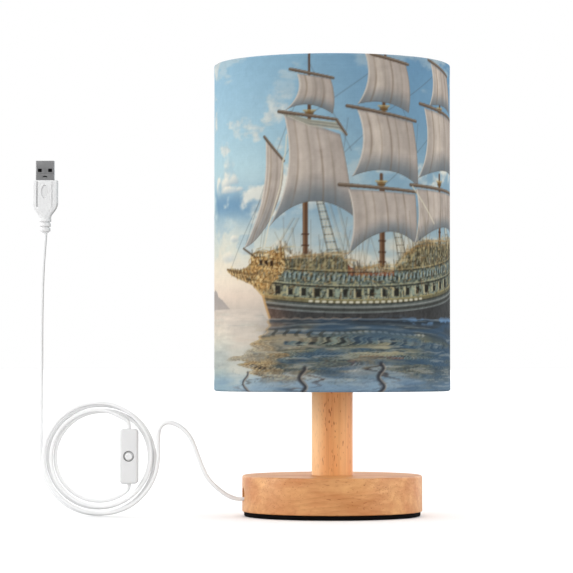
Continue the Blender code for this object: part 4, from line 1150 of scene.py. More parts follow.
def paint_sea():
    """Calm water: haze on the left, deep slate under the ship, and its broken reflection."""
    left = by_height(
        (0, (146, 170, 177)), (8, (155, 174, 176)), (16, (174, 180, 174)), (24, (180, 184, 178)),
        (31, (204, 201, 188)), (38, (216, 206, 190)), (45, (212, 200, 186)),
        (52, (203, 191, 178)))
    right = by_height((0, (92, 112, 130)), (10, (72, 92, 110)), (24, (64, 82, 96)),
                      (40, (62, 76, 88)), (52, (92, 98, 100)))
    share = step(-62, -24, X + 16 * (fbm(30, 24, 5, 3) - 0.5) - 0.35 * (Z - 30))
    sea = blend(left, right, share * step(232, 168, X))
    sea = sea * (0.90 + 0.16 * fbm(30, 110, 103, 4) + 0.05 * fbm(90, 230, 107, 2))[..., None]
    depth = np.maximum(WATER - Z, 0.0)
    across = step(-88, -66, X) * step(170, 146, X)
    streaks = step(0.30, 0.62, fbm(18, 70, 127, 3))
    keep = across * (0.50 + 0.32 * streaks) * step(0.0, 1.5, depth)
    keep = keep * (1 - 0.55 * step(52, 92, X))
    sea = blend(sea, reflection(depth) * 0.92 + rgb(40, 62, 84) * 0.12, keep)
    # blue deep patches between the reflections and light on the crests
    deep = across * step(0.50, 0.68, fbm(14, 44, 131, 4)) * step(-44, -28, X) * 0.60
    sea = blend(sea, rgb(62, 88, 114), deep)
    crest = step(0.60, 0.72, fbm(24, 120, 137, 3)) * 0.34
    sea = blend(sea, rgb(196, 196, 184), crest)
    gilt = (step(0.46, 0.62, fbm(34, 90, 133, 3)) * np.exp(-((Z - 25.5) / 6.5) ** 2)
            * np.exp(-((X - 34) / 27.0) ** 2))
    sea = blend(sea, rgb(178, 168, 134), gilt * 0.75)
    gilt = (step(0.44, 0.60, fbm(40, 90, 135, 3)) * np.exp(-((Z - 33) / 7.5) ** 2)
            * np.exp(-((X + 30) / 22.0) ** 2))
    sea = blend(sea, rgb(176, 156, 124), gilt * 0.70)
    ports = (step(0.25, 0.75, np.sin((X + 1.2 * np.sin(Z * 1.1)) * 0.80))
             * np.exp(-((Z - 36.5 - 0.6 * np.sin(X * 0.15)) / 2.2) ** 4)
             * step(-47, -40, X) * step(8, -6, X))
    sea = blend(sea, rgb(62, 62, 58), ports * 0.66)
    low_blue = step(14, 2, Z) * (0.30 + 0.35 * step(0.4, 0.6, fbm(16, 30, 139, 3)))
    sea = blend(sea, rgb(128, 158, 184), low_blue)
    level = 52.0 - (52.0 - WATER) * step(-50, -42, X) * step(144, 136, X)
    mask = clamp((level - Z) / 0.7 + 0.5) * np.where(Z > WATER, 1 - polygon(HULL, 0.6), 1.0)
    paint(mask, sea)
    # a line of foam and shadow at the hull
    for x0, x1, up, tone in ((-41, 18, 0.5, (206, 178, 152)), (10, 136, 0.2, (92, 118, 146))):
        points = [(x0 + (x1 - x0) * k / 24, WATER + up + 0.7 * math.sin(k * 1.9) - 0.5)
                  for k in range(25)]
        stroke(points, 0.8, rgb(*tone), 0.38)
    stroke([(-40, 44.3), (0, 43.6), (60, 43.4), (136, 44.2)], 1.8, rgb(38, 48, 58), 0.6, soft=1.0)
    blue = (step(0.5, 0.7, fbm(60, 60, 149, 3)) * step(49, 45, Z) * step(40, 44, Z)
            * step(20, 70, X) * step(150, 120, X))
    paint(blue * 0.7, rgb(112, 150, 190))
    # wavering masts at the foot of the picture
    for x, top, w in ((-19.0, 15.0, 2.6), (31.0, 17.5, 2.6), (-61.0, 12.0, 1.6)):
        lean, curve = (0.15, 0.0) if x > -50 else (0.0, 0.028)
        points = [(x + 1.9 * math.sin(z * 0.55 + x) + 0.25 * (top - z) * lean
                   + curve * (z - 6) ** 2, z) for z in np.linspace(-1, top, 22)]
        stroke(points, w, rgb(58, 58, 62), 0.85, soft=0.7)
        stroke([(px + w * 0.55, z) for px, z in points], 0.8, rgb(206, 190, 170), 0.55, soft=0.5)


def paint_far_ship():
    """A small ship far off, on the side away from the front."""
    x, z = -196.0, 53.0
    paint(polygon([(x - 9, z + 1.5), (x + 9, z + 2.2), (x + 6.5, z - 1), (x - 7, z - 1)]),
          rgb(96, 88, 80))
    for shift, width, h in ((-5, 5.0, 13), (0.5, 5.6, 16), (5.6, 4.4, 12)):
        mast = x + shift
        stroke([(mast, z + 1), (mast, z + h + 3)], 0.6, rgb(96, 84, 74))
        for k in range(3):
            z0 = z + 2.6 + k * h / 3
            z1 = z0 + h / 3 - 0.9
            half = width * (1 - 0.18 * k) / 2
            cloth = polygon([(mast - half, z0), (mast + half, z0), (mast + half - 0.3, z1),
                             (mast - half + 0.5, z1)])
            paint(cloth * 0.9, rgb(206, 198, 186))


paint_sky()
paint_far_ship()
paint_rig()
paint_hull()
paint_clutter()
paint_sea()
# brush work over everything, then the tone of ink on cloth
ART *= (0.965 + 0.05 * fbm(120, 60, 151, 3) + 0.02 * noise(640, 260, 157))[..., None]
PRINT = INK * to_linear(clamp(ART))

# ---------------------------------------------------------------- the shade's cloth
HEM = 7.0                                # height of the glued fold
LIP_R = 1.2                              # rounding of the cloth over the wires
LAP_COLS = 12                            # the right-hand edge laps over the left at the back
# the fold over a wire and back behind it: inset from the shade's radius, distance from its end
FOLD = [(1.7, 0.0), (3.0, 0.05), (4.3, 0.5), (5.0, 1.5), (5.1, 2.8), (4.6, 3.9), (3.2, 4.6),
        (1.75, 5.4), (1.3, 6.6)]


def cloth_radius(height):
    radius = SHADE_R - 0.12
    ends = (height, SHADE_H - height)
    for depth in ends:                    # the fold is a hair thicker than the single cloth
        radius += 0.10 * (1 - clamp((depth - HEM) / 0.9))
    radius = min(radius, SHADE_R)
    for depth in ends:
        if depth < LIP_R:
            radius -= LIP_R - math.sqrt(max(0.0, LIP_R ** 2 - (LIP_R - depth) ** 2))
    return radius


def build_shade():
    """The printed skin: a cylinder of cloth folded over the top and bottom wires."""
    heights = [SHADE_H * j / ROWS for j in range(ROWS + 1)]
    rows = [(SHADE_R - inset, SHADE_Z0 + drop, 0) for inset, drop in reversed(FOLD)]
    rows += [(cloth_radius(h), SHADE_Z0 + h, j) for j, h in enumerate(heights)]
    rows += [(SHADE_R - inset, SHADE_Z1 - drop, ROWS) for inset, drop in FOLD]
    count, cols = len(rows), COLS + 1 + LAP_COLS
    theta = np.linspace(-math.pi, math.pi + LAP_COLS * 2 * math.pi / COLS, cols)
    radius = np.array([r for r, _, _ in rows])[:, None]
    height = np.array([z for _, z, _ in rows])[:, None]
    soft = 0.10 * np.sin(3 * theta + 0.7) + 0.06 * np.sin(7 * theta + 2.0)
    belly = np.sin(clamp((height - SHADE_Z0) / SHADE_H) * math.pi)
    index = np.arange(count)[:, None]
    lap = 0.34 * clamp((theta - math.pi + 0.06) / 0.06)[None, :] ** 2
    lap = lap * clamp((index - 4) / 3.0) * clamp((count - 5 - index) / 3.0)
    out = radius + 0.35 * soft[None, :] * belly - 0.03 + lap
    verts = np.stack([out * np.sin(theta), -out * np.cos(theta),
                      np.broadcast_to(height, (count, cols))], -1).reshape(-1, 3)
    faces = grid_faces(count, cols, wrap_cols=False)
    rise = np.hypot(np.diff(radius[:, 0]), np.diff(height[:, 0]))
    length = np.concatenate([[0], np.cumsum(rise)])
    corner = np.array(faces).ravel()
    uv = np.stack([np.linspace(0, 1, cols)[corner % cols],
                   (length / length[-1])[corner // cols]], -1)
    obj = piece("shade_skin", verts, faces, "shade_print", "shade", "shade_fabric",
                ["shade_fabric"], uv=uv, turn_out=False)
    source = np.array([j for _, _, j in rows])
    colours = np.ones((count, cols, 4), np.float32)
    colours[..., :3] = PRINT[source][:, np.minimum(np.arange(cols), COLS)]
    backs = len(FOLD) - 3                 # rows where the cloth's back shows inside the fold
    for part in (slice(0, backs), slice(count - backs, count)):
        colours[part, :, :3] = colours[part, :, :3] * 0.3 + 0.5
    attribute = obj.data.color_attributes.new("Print", "FLOAT_COLOR", "POINT")
    attribute.data.foreach_set("color", colours.ravel())


build_shade()

# ---------------------------------------------------------------- liner, wires, spider and ring
LINER_T = 0.4
WIRE_RING_R, WIRE_R, ARM_R = 73.2, 1.5, 1.4
WIRE_INSET = 2.2                         # height of each wire from its end of the shade
WIRE_FINISH = ("wire_paint", "shade", "frame_wire")


def liner_point(radius, k):
    return radius, LINER_Z0 + (LINER_Z1 - LINER_Z0) * k / 16


lathe("liner_sheet", [(LINER_R - LINER_T, LINER_Z0), (LINER_R, LINER_Z0)]
      + [liner_point(LINER_R, k) for k in range(1, 17)]
      + [liner_point(LINER_R - LINER_T, 16 - k) for k in range(16)],
      240, "shade_liner", "shade", "shade_liner", ["shade_liner"], sharp=40)
for end, wire_z in (("top", SHADE_Z1 - WIRE_INSET), ("bottom", SHADE_Z0 + WIRE_INSET)):
    turns = [2 * math.pi * k / 18 for k in range(18)]
    circle = [(WIRE_RING_R + WIRE_R * math.cos(a), wire_z + WIRE_R * math.sin(a)) for a in turns]
    lathe(end + "_wire", circle, 240, *WIRE_FINISH, [f"shade_{end}_wire"], sharp=None)
lathe("collar_plate", [
    (20.2, COLLAR_Z0 + 0.25), (20.45, COLLAR_Z0), (COLLAR_R - 0.25, COLLAR_Z0),
    (COLLAR_R, COLLAR_Z0 + 0.25), (COLLAR_R, COLLAR_Z1 - 0.25), (COLLAR_R - 0.25, COLLAR_Z1),
    (20.45, COLLAR_Z1), (20.2, COLLAR_Z1 - 0.25)], 128, *WIRE_FINISH, ["spider_collar"], sharp=60)

COLLAR_MID, WIRE_Z = (COLLAR_Z0 + COLLAR_Z1) / 2, SHADE_Z0 + WIRE_INSET
# an arm from the collar down to the bottom wire: radius, height
ARM_LINE = [(24.6, COLLAR_MID), (26.3, COLLAR_MID), (34.0, COLLAR_MID - 0.6),
            (46.0, COLLAR_MID - 8.0), (57.0, 103.0), (64.0, 88.0), (67.5, SHADE_Z0 + 2.8),
            (71.4, WIRE_Z), (72.0, WIRE_Z)]


def bead(name, centre, radii, turn):
    """A weld bead: a lumpy ellipsoid over a joint of two wires."""
    verts = []
    rows, cols = 10, 18
    for j in range(rows + 1):
        for i in range(cols):
            a, b = math.pi * j / rows, 2 * math.pi * i / cols
            lump = 1 + 0.06 * math.sin(3 * b + 2 * a) * math.sin(a)
            x = radii[0] * math.sin(a) * math.cos(b) * lump
            y = radii[1] * math.sin(a) * math.sin(b) * lump
            verts.append((centre[0] + x * math.cos(turn) - y * math.sin(turn),
                          centre[1] + x * math.sin(turn) + y * math.cos(turn),
                          centre[2] + radii[2] * math.cos(a)))
    piece(name, verts, grid_faces(rows + 1, cols), *WIRE_FINISH, merge=True)


for k in range(3):
    turn = math.radians(90 + 120 * k)
    cos, sin = math.cos(turn), math.sin(turn)
    arm_path = smooth_path([(r * cos, r * sin, z) for r, z in ARM_LINE], 1.2)
    tube(f"arm_{k + 1}", arm_path, ARM_R, 14, *WIRE_FINISH, [f"spider_arm_{k + 1}"])
    bead(f"arm_weld_inner_{k + 1}", (26.0 * cos, 26.0 * sin, COLLAR_MID), (1.6, 2.1, 1.5), turn)
    bead(f"arm_weld_outer_{k + 1}", (71.5 * cos, 71.5 * sin, WIRE_Z), (1.6, 2.2, 1.6), turn)


def knurl(angle, radius, z):
    return -0.28 * (0.5 + 0.5 * math.cos(40 * angle)) ** 2 if radius > 23.0 else 0.0


lathe("ring_knurled", [
    (19.75, 129.7), (20.05, 129.4), (24.7, 129.4), (25.0, 129.7), (25.0, 131.3), (24.7, 131.7),
    (23.4, 132.4), (23.2, 132.8), (23.2, 134.6), (23.2, 136.6), (23.2, 138.3), (22.9, 138.9),
    (22.3, 139.2), (20.05, 139.2), (19.75, 138.9)],
    320, "holder_white", "shade_ring", "holder_white", ["shade_ring"], wobble=knurl, sharp=50)

# ---------------------------------------------------------------- lampholder
HOLDER_FINISH = ("holder_white", "lamp_stand", "holder_white")
CAP_OUTLINE = [(5.25, 105.4), (11.8, 105.4)] + arc(12.0, 107.0, 1.6, -90, -58, 4) + [
    (15.6, 106.9), (17.2, 108.5), (18.3, 110.4), (19.0, 112.4), (19.4, 114.4), (19.5, 116.0),
    (19.5, 118.6), (19.2, 119.0), (17.3, 119.0), (17.25, 115.0), (17.0, 112.8), (16.3, 111.1),
    (15.1, 109.9), (13.4, 109.2), (12.0, 109.0), (5.25, 109.0)]


def cap_flutes(angle, radius, z):
    band = radius > 19.3 and 115 < z < 118.9
    return -0.16 * (0.5 + 0.5 * math.cos(36 * angle)) ** 3 if band else 0.0


def skirt_outline():
    outline = [(16.9, 119.5), (17.1, 119.3), (19.2, 119.3), (19.5, 119.6), (19.6, 122.6),
               (19.9, 123.4), (21.9, 124.1), (22.2, 124.5), (22.2, 126.6), (21.9, 127.0),
               (19.3, 127.3)]
    for k in range(4):                    # rounded grooves round the outside
        z = 128.6 + 5.6 * k
        for q in range(0, 361, 30):
            dip = (0.5 - 0.5 * math.cos(math.radians(q))) ** 0.8
            outline.append((19.3 - 0.6 * dip, z + 1.0 + 3.6 * q / 360))
    return outline + [(19.3, 156.0), (19.0, 156.7), (18.4, 157.0), (17.2, 157.0), (16.9, 156.7)]


def thread(name, radius, z0, z1, other_radius, mat, body, slot, replaces):
    """A rolled thread: the wall at radius carries it, the wall at other_radius is plain."""
    pitch, depth = 3.629, 0.45
    out = 1.0 if other_radius > radius else -1.0
    around, rings = 72, int((z1 - z0) / pitch * 14)
    angles = [2 * math.pi * i / around for i in range(around)]
    verts = []
    for j in range(rings + 1):
        z = z0 + (z1 - z0) * j / rings
        fade = min(1.0, (z - z0) / 1.2, (z1 - z) / 1.2)
        for a in angles:
            wave = fade * math.cos(2 * math.pi * z / pitch - a)
            r = radius + depth * (out * (1 - fade) + wave)
            verts.append((r * math.cos(a), r * math.sin(a), z))
    for z in (z1, z0):
        verts += [(other_radius * math.cos(a), other_radius * math.sin(a), z) for a in angles]
    piece(name, verts, grid_faces(rings + 3, around, True, True), mat, body, slot, replaces,
          sharp=60)


lathe("holder_cap", CAP_OUTLINE, 144, *HOLDER_FINISH, ["lampholder_cap"],
      wobble=cap_flutes, sharp=34)
lathe("holder_skirt", skirt_outline(), 128, *HOLDER_FINISH, ["lampholder_skirt"], sharp=40)
thread("socket_sleeve", 13.25, 137.0, 154.6, 15.0, "brass", "lamp_stand", "brass",
       ["socket_shell"])
thread("bulb_sleeve", 12.75, 141.5, 158.0, 11.3, "nickel_cap", "bulb", "steel",
       ["bulb_cap_shell"])
lathe("socket_seat_ring", [(13.6, 131.5), (13.8, 131.3), (14.8, 131.3), (15.0, 131.5),
                           (15.0, 136.5), (14.8, 136.7), (13.8, 136.7), (13.6, 136.5)],
      72, "brass", "lamp_stand", "brass", ["socket_shell_seat"])

# ---------------------------------------------------------------- bulb
lathe("bulb_contact", [(0.0, 134.3), (2.4, 134.3), (3.6, 134.45), (4.5, 134.9), (4.9, 135.4),
                       (4.9, 135.8), (4.7, 136.0), (0.0, 136.0)],
      48, "nickel_cap", "bulb_tip", "brass", ["bulb_tip_contact"])
lathe("bulb_insulator", [(0.0, 136.3), (5.2, 136.3), (5.6, 136.5), (10.5, 139.7), (10.9, 140.3),
                         (10.9, 141.0), (10.7, 141.2), (0.0, 141.2)],
      64, "black_plastic", "bulb", "black_plastic", ["bulb_cap_insulator"])
lathe("bulb_neck", [
    (11.6, 158.3), (13.1, 158.3), (13.4, 158.6), (13.5, 160.0), (14.0, 162.4), (14.8, 165.4),
    (15.7, 168.6), (16.5, 172.0), (17.2, 175.4), (17.7, 178.6), (18.0, 181.4), (17.8, 182.0),
    (16.4, 182.0), (15.7, 176.0), (14.1, 169.0), (12.4, 163.0)],
    128, "bulb_body", "bulb", "bulb_white", ["bulb_housing"], sharp=36)
GLOBE_R, GLOBE_Z, GLOBE_RISE = 19.2, 196.0, 30.0
dome = [(17.9, 182.3), (18.2, 183.5), (18.7, 186.5), (19.05, 190.0), (19.2, 193.5),
        (GLOBE_R, GLOBE_Z)]
dome += [(GLOBE_R * math.cos(math.radians(a)), GLOBE_Z + GLOBE_RISE * math.sin(math.radians(a)))
         for a in range(4, 88, 4)]
dome_inside = [(r - 1.3 * min(1.0, r / 6.0), z - 1.4 * (z - 190.0) / 36.0 if z > 190 else z)
               for r, z in reversed(dome[1:])]
lathe("bulb_globe", dome + [(0.0, GLOBE_Z + GLOBE_RISE), (0.0, 224.6)] + dome_inside
      + [(16.7, 182.3)], 128, "bulb_diffuser", "bulb", "bulb_frost", ["bulb_diffuser"], sharp=50)

# ---------------------------------------------------------------- cable
# down the post and out through the base
INNER_KNOTS = [
    (0.0, 0.0, 112.4), (0.0, 0.0, 60.0), (0.0, 0.0, 24.0), (0.0, 0.0, 12.0), (-0.5, 0.0, 8.0),
    (-2.8, -0.4, 5.2), (-6.0, -1.0, 5.1), (-10.0, -1.8, 6.9), (-14.5, -2.6, 9.8),
    (-19.5, -3.5, 11.1), (-34.0, -6.2, CABLE_Z), (-46.0, -8.9, CABLE_Z), (-52.0, -9.9, CABLE_Z),
    (SPLIT_X + 0.15, CABLE_Y, CABLE_Z)]
# the free hump from the base to the coil, x and z; its first point is the split
LEAD = [(-60.6, CABLE_Z + 0.06), (-64.0, 12.0), (-68.4, 14.1), (-73.0, 17.5), (-77.7, 21.9),
        (-81.3, 27.0), (-84.5, 34.2), (-87.2, 41.4), (-90.6, 49.6), (-94.8, 55.1), (-99.6, 58.7),
        (-104.9, 60.3), (-108.7, 59.2), (-111.0, 56.2), (-111.7, 51.4), (-111.7, 44.0)]
# windings: angle in degrees, radius
LAMP_WINDING = [(0, 38.4), (-45, 37.3), (-90, 35.9), (-135, 35.4), (-180, 35.3), (-270, 35.2),
                (-315, 34.6), (-360, 33.7), (-405, 32.6), (-450, 31.6), (-495, 31.0),
                (-540, 30.6), (-630, 30.4), (-660, 30.0)]
PLUG_WINDING = [(180, 37.4), (225, 36.9), (270, 36.2), (315, 36.0), (360, 35.9), (405, 35.0),
                (450, 33.6), (495, 33.0), (540, 32.9), (585, 32.6), (630, 32.2), (675, 32.2),
                (720, 32.7), (757, 32.7), (785, 31.3), (815, 29.3), (855, 28.3), (900, 28.1),
                (990, 27.9), (1022, 28.1)]
LEAD_X = COIL_X - PLUG_WINDING[0][1]     # where the plug's lead drops into the coil
PLUG_LEAD = [
    (-185.0, PLUG_Y, 200.0), (PLUG_X, PLUG_Y, 190.0), (-185.1, PLUG_Y, 182.0),
    (-185.7, PLUG_Y, 173.0), (-186.6, PLUG_Y, 160.0), (-187.2, PLUG_Y, 142.0),
    *((LEAD_X, LAYER_BACK, z) for z in (122.0, 100.0, 80.0, 66.0, 52.0))]


def coil_radius(table, angle):
    """Radius of a winding at an angle, smoothly between the listed ones."""
    for (a0, r0), (a1, r1) in zip(table, table[1:]):
        if min(a0, a1) <= angle <= max(a0, a1):
            t = step(a0, a1, angle) * 0.35 + (angle - a0) / (a1 - a0) * 0.65
            return r0 + (r1 - r0) * t


def winding(table, angles, y):
    points = []
    for angle in angles:
        r, t = coil_radius(table, angle), math.radians(angle)
        points.append((COIL_X + r * math.cos(t), y, COIL_Z + r * math.sin(t)))
    return points


def coil_distance(p):
    return math.hypot(p.x - COIL_X, p.z - COIL_Z)


def lamp_run(p):
    """Fullest along the free hump, true size through the base and the switch."""
    hump = step(59.5, 64.0, -p.x)
    if p.x < -100:
        hump *= step(42.0, 52.0, p.z)
    if not (p.x > -112.5 and p.z > 5.0 and coil_distance(p) > 37.6):
        hump = 0.0
    coil = 0.05 * step(100.0, 111.0, -p.x) * step(27.0, 30.5, coil_distance(p))
    return 1.0 + max(0.20 * hump, coil)


def plug_run(p):
    """Fullest along the free lead, true size in the switch and where the plug takes it."""
    free = step(76.0, 96.0, p.z)
    lead = free * (1.0 - step(189.0, 193.0, p.z))
    coil = 0.05 * step(28.6, 31.0, coil_distance(p)) * (1.0 - free)
    return 1.0 + max(0.20 * lead, coil)


def into_switch(layer, side, heights):
    """Knots from a coil layer into one end of the switch; side is 1 above and -1 below."""
    high, near, mouth, inside = (SWITCH_Z + side * h for h in heights)
    return [(SWITCH_X - 1.5, layer + side * 0.5, high),
            (SWITCH_X - 0.25, CABLE_Y - side * 0.25, near),
            (SWITCH_X, CABLE_Y, mouth), (SWITCH_X, CABLE_Y, inside)]


lamp_knots = [(x, CABLE_Y + (LAYER_FRONT - CABLE_Y) * step(0, 8, i), z)
              for i, (x, z) in enumerate(LEAD, 1)]
lamp_knots += winding(LAMP_WINDING, range(0, -656, -15), LAYER_FRONT)
lamp_knots += into_switch(LAYER_FRONT, 1, (22.9, 20.4, 18.4, 13.0))
plug_knots = PLUG_LEAD + winding(PLUG_WINDING, range(180, 1021, 15), LAYER_BACK)
plug_knots += into_switch(LAYER_BACK, -1, (22.2, 20.2, 18.4, 13.0))

lamp_cable = tube("cable_to_lamp", smooth_path(INNER_KNOTS + lamp_knots, 1.5), CABLE_R, 18,
                  "cable_pvc", None, "cable_white", ["cable_lamp_inner", "cable_lamp_side"],
                  fuller=lamp_run)
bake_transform(lamp_cable)
plug_cable = tube("cable_to_plug", smooth_path(plug_knots, 1.5), CABLE_R, 18,
                  "cable_pvc", None, "cable_white", ["cable_plug_side", "cable_plug_lead"],
                  fuller=plug_run)
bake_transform(plug_cable)

# ---------------------------------------------------------------- in-line switch
HALF = SWITCH_T / 2
CASE_WALL, CASE_EDGE, CASE_CORNER = 1.3, 1.5, 2.4


def switch_half(name, sign, node, holes):
    """A shell with a rolled outer edge, open at the parting plane; sign is its side in y."""
    # (width and length inset, corner radius, distance from the parting plane)
    rows = [(2 * CASE_WALL, CASE_CORNER - 1.0, HALF - CASE_WALL),
            (2 * CASE_WALL, CASE_CORNER - 1.0, 0.10), (0.36, CASE_CORNER - 0.18, 0.10),
            (0.0, CASE_CORNER, 0.28), (0.0, CASE_CORNER, HALF - CASE_EDGE)]
    for k in range(1, 9):
        a = math.radians(90 * k / 8)
        inset = CASE_EDGE * (1 - math.cos(a))
        rows.append((2 * inset, max(CASE_CORNER - inset, 0.6),
                     HALF - CASE_EDGE + CASE_EDGE * math.sin(a)))
    rows.append((2 * CASE_EDGE + 1.2, 0.6, HALF + 0.03))
    verts = [(SWITCH_X + x, CABLE_Y + sign * h, SWITCH_Z + z) for inset, corner, h in rows
             for x, z in rounded_rect(SWITCH_W - inset, SWITCH_L - inset, corner, 96)]
    obj = piece(name, verts, stack_faces(len(rows), 96), "switch_abs", "cord", "switch_white",
                [node], sharp=34)
    cutters = [rod_cutter((SWITCH_X, CABLE_Y, SWITCH_Z), (0, 0, 1), CABLE_R + 0.35, 60, 40)]
    for up, radius, count, flare in holes:
        cutters.append(rod_cutter((SWITCH_X, CABLE_Y + sign * HALF, SWITCH_Z + up),
                                  (0, sign, 0), radius, 6, count, flare=flare))
    cut(obj, cutters)


# holes: height from the middle, radius, sides, flare
switch_half("switch_front", -1, "switch_case_front", [(0, 3.35, 64, (-0.28, 0.12))])
switch_half("switch_rear", 1, "switch_case_rear",
            [(up, 1.5, 32, (-0.2, 0.08)) for up in (-11.5, 11.5)])
BUTTON_Y = CABLE_Y - HALF - 0.35
lathe("button_cap", [
    (0.0, 0.16), (0.8, 0.12), (1.35, 0.02), (1.75, -0.05), (2.05, 0.03), (2.28, 0.2), (2.38, 0.5),
    (2.38, 1.9), (3.05, 2.05), (3.1, 2.3), (3.1, 2.7), (2.9, 2.9), (1.2, 3.0), (1.2, 3.6),
    (0.0, 3.6)], 64, "button_abs", "button", "button_white", ["switch_button"], sharp=40,
    place=lambda x, y, z: (x + SWITCH_X, z + BUTTON_Y, -y + SWITCH_Z))

# ---------------------------------------------------------------- USB plug
# the grip down from its front face: width, thickness, superellipse power, distance
GRIP_ROWS = [
    (15.3, 7.3, 0.40, 0.0), (15.9, 7.9, 0.36, 0.06), (16.25, 8.25, 0.33, 0.30),
    (16.4, 8.4, 0.32, 0.70), (16.4, 8.4, 0.32, 4.0), (16.4, 8.4, 0.32, 8.0),
    (16.4, 8.4, 0.32, 12.0), (16.4, 8.4, 0.33, 14.6), (16.1, 8.4, 0.36, 15.8),
    (15.4, 8.3, 0.42, 17.0), (14.5, 8.2, 0.48, 18.1), (13.2, 8.0, 0.54, 19.2),
    (11.7, 7.8, 0.60, 20.3), (10.1, 7.6, 0.64, 21.3), (8.8, 7.4, 0.70, 22.2),
    (8.1, 7.3, 0.76, 23.0), (7.7, 7.2, 0.82, 23.8), (7.5, 7.1, 0.88, 24.3)]
# one rib of the sleeve: reduction of its diameter, distance from its start
RIB = [(0.35, -0.02), (0.0, 0.3), (0.0, 1.9), (0.35, 2.2), (1.9, 2.35), (1.9, 3.0)]
RIB_PITCH, RIB_DIAMETERS = 3.1, (7.8, 7.3, 6.8)
GRIP_HALF_T = 4.2
SHELL_W, SHELL_T, SHELL_WALL = 12.0, 4.5, 0.32


def superellipse(width, thickness, power, count):
    out = []
    for k in range(count):
        a = 2 * math.pi * k / count
        c, s = math.cos(a), math.sin(a)
        out.append((width / 2 * math.copysign(abs(c) ** power, c),
                    thickness / 2 * math.copysign(abs(s) ** power, s)))
    return out


def groove_cutter(side, x, half, deep):
    """A groove down a broad face of the grip; side is its side in y."""
    corners = ((-1.3, side * 0.6), (-0.8, -side * deep), (0.8, -side * deep), (1.3, side * 0.6))
    y = PLUG_Y + side * GRIP_HALF_T
    return cutter(*[[(PLUG_X + x + gx * half * size, y + gy, PLUG_FACE_Z - down)
                     for gx, gy in corners] for down, size in ((17.2, 1.15), (1.0, 0.8))])


def oval_cutter(side):
    """A plain oval recess in a broad face of the grip."""
    turns = [2 * math.pi * k / 48 for k in range(48)]
    return cutter(*[[(PLUG_X + 2.1 * size * math.cos(a), PLUG_Y + side * (GRIP_HALF_T + out),
                      PLUG_FACE_Z - 7.4 + 4.2 * size * math.sin(a)) for a in turns]
                    for out, size in ((0.6, 1.08), (-0.60, 0.94))])


def plug_grip():
    """The moulded grip: straight sides, a rounded shoulder, a neck and three ribs."""
    rows = list(GRIP_ROWS)
    for k, diameter in enumerate(RIB_DIAMETERS):
        rows += [(diameter - less, diameter - less, 1.0, 24.5 + RIB_PITCH * k + down)
                 for less, down in RIB]
    verts = [(PLUG_X + x, PLUG_Y + y, PLUG_FACE_Z - down) for w, t, power, down in rows
             for x, y in superellipse(w, t, power, 96)]
    obj = piece("plug_grip", verts, stack_faces(len(rows), 96), "plug_pvc", "plug",
                "cable_white", ["usb_grip"], sharp=38)
    cutters = [rod_cutter((PLUG_X, PLUG_Y, 172.0), (0, 0, 1), CABLE_R + 0.12, 60, 40)]
    pocket = rounded_rect(SHELL_W + 0.24, SHELL_T + 0.24, 0.6, 96)
    cutters.append(cutter(*[[(PLUG_X + x, PLUG_Y + y, z) for x, y in pocket]
                            for z in (208.6, 232.0)]))
    for side in (-1, 1):
        cutters.append(groove_cutter(side, x=-4.8, half=0.45, deep=0.95))
        cutters.append(groove_cutter(side, x=4.8, half=0.26, deep=0.42))
        cutters.append(oval_cutter(side))
    cut(obj, cutters)


def plug_shell():
    """The metal shell, with two windows through it, an arched slot and a seam in its front."""
    inner_w, inner_t = SHELL_W - 2 * SHELL_WALL, SHELL_T - 2 * SHELL_WALL
    rows = [(SHELL_W, SHELL_T, 0.55, 209.0), (SHELL_W, SHELL_T, 0.55, 219.0),
            (SHELL_W, SHELL_T, 0.55, USB_TIP_Z - 0.3),
            (SHELL_W - 0.3, SHELL_T - 0.3, 0.45, USB_TIP_Z),
            (inner_w, inner_t, 0.3, USB_TIP_Z - 0.05), (inner_w, inner_t, 0.3, 209.0)]
    verts = [(PLUG_X + x, PLUG_Y + y, z) for w, t, corner, z in rows
             for x, y in rounded_rect(w, t, corner, 96)]
    obj = piece("plug_shell", verts, grid_faces(6, 96, True, True), "nickel_shell", "plug",
                "usb_steel", ["usb_shell"], sharp=30)
    opening = rounded_rect(2.5, 2.2, 0.25, 32)
    cutters = [cutter(*[[(PLUG_X + sign * 3.3 + x, PLUG_Y + y, USB_TIP_Z - 6.2 + z)
                         for x, z in opening] for y in (-7.0, 7.0)]) for sign in (-1, 1)]
    arch = [(-1.75, -0.5), (-1.1, 0.25), (-0.4, 0.5), (0.4, 0.5), (1.1, 0.25), (1.75, -0.5),
            (0.9, -0.5), (0.45, -0.3), (-0.45, -0.3), (-0.9, -0.5)]
    cutters.append(cutter(*[[(PLUG_X + x, PLUG_Y + y, PLUG_FACE_Z + 2.4 + z) for x, z in arch]
                            for y in (-3.4, -1.88)]))
    seam = ((-0.05, -2.6), (0.05, -2.6), (0.05, -2.12), (-0.05, -2.12))
    cutters.append(cutter(*[[(PLUG_X + x, PLUG_Y + y, z) for x, y in seam]
                            for z in (PLUG_FACE_Z + 4.2, 230.0)]))
    cut(obj, cutters)


plug_grip()
plug_shell()

# ---------------------------------------------------------------- frame pieces that stay
FRAME_FINISHES = {
    "zinc_steel": ("base_washer", "base_nut", "threaded_tube", "switch_screw_lower",
                   "switch_screw_upper"),
    "black_plastic": ("cable_tie", "wire_return", "switch_module"),
    "ceramic": ("socket_core",),
    "brass": ("socket_centre_contact", "terminal_screw_left", "terminal_screw_right"),
    "wire_red": ("wire_live",),
    "circuit_board": ("bulb_driver_board", "bulb_led_board", "switch_board"),
    "tongue_black": ("usb_tongue",),
    "gold_contact": ("usb_contact_1", "usb_contact_2", "usb_contact_3", "usb_contact_4")}
for finish, names in FRAME_FINISHES.items():
    for name in names:
        slots = NODES[name].data.materials
        slots.clear()
        slots.append(MATERIALS[finish])


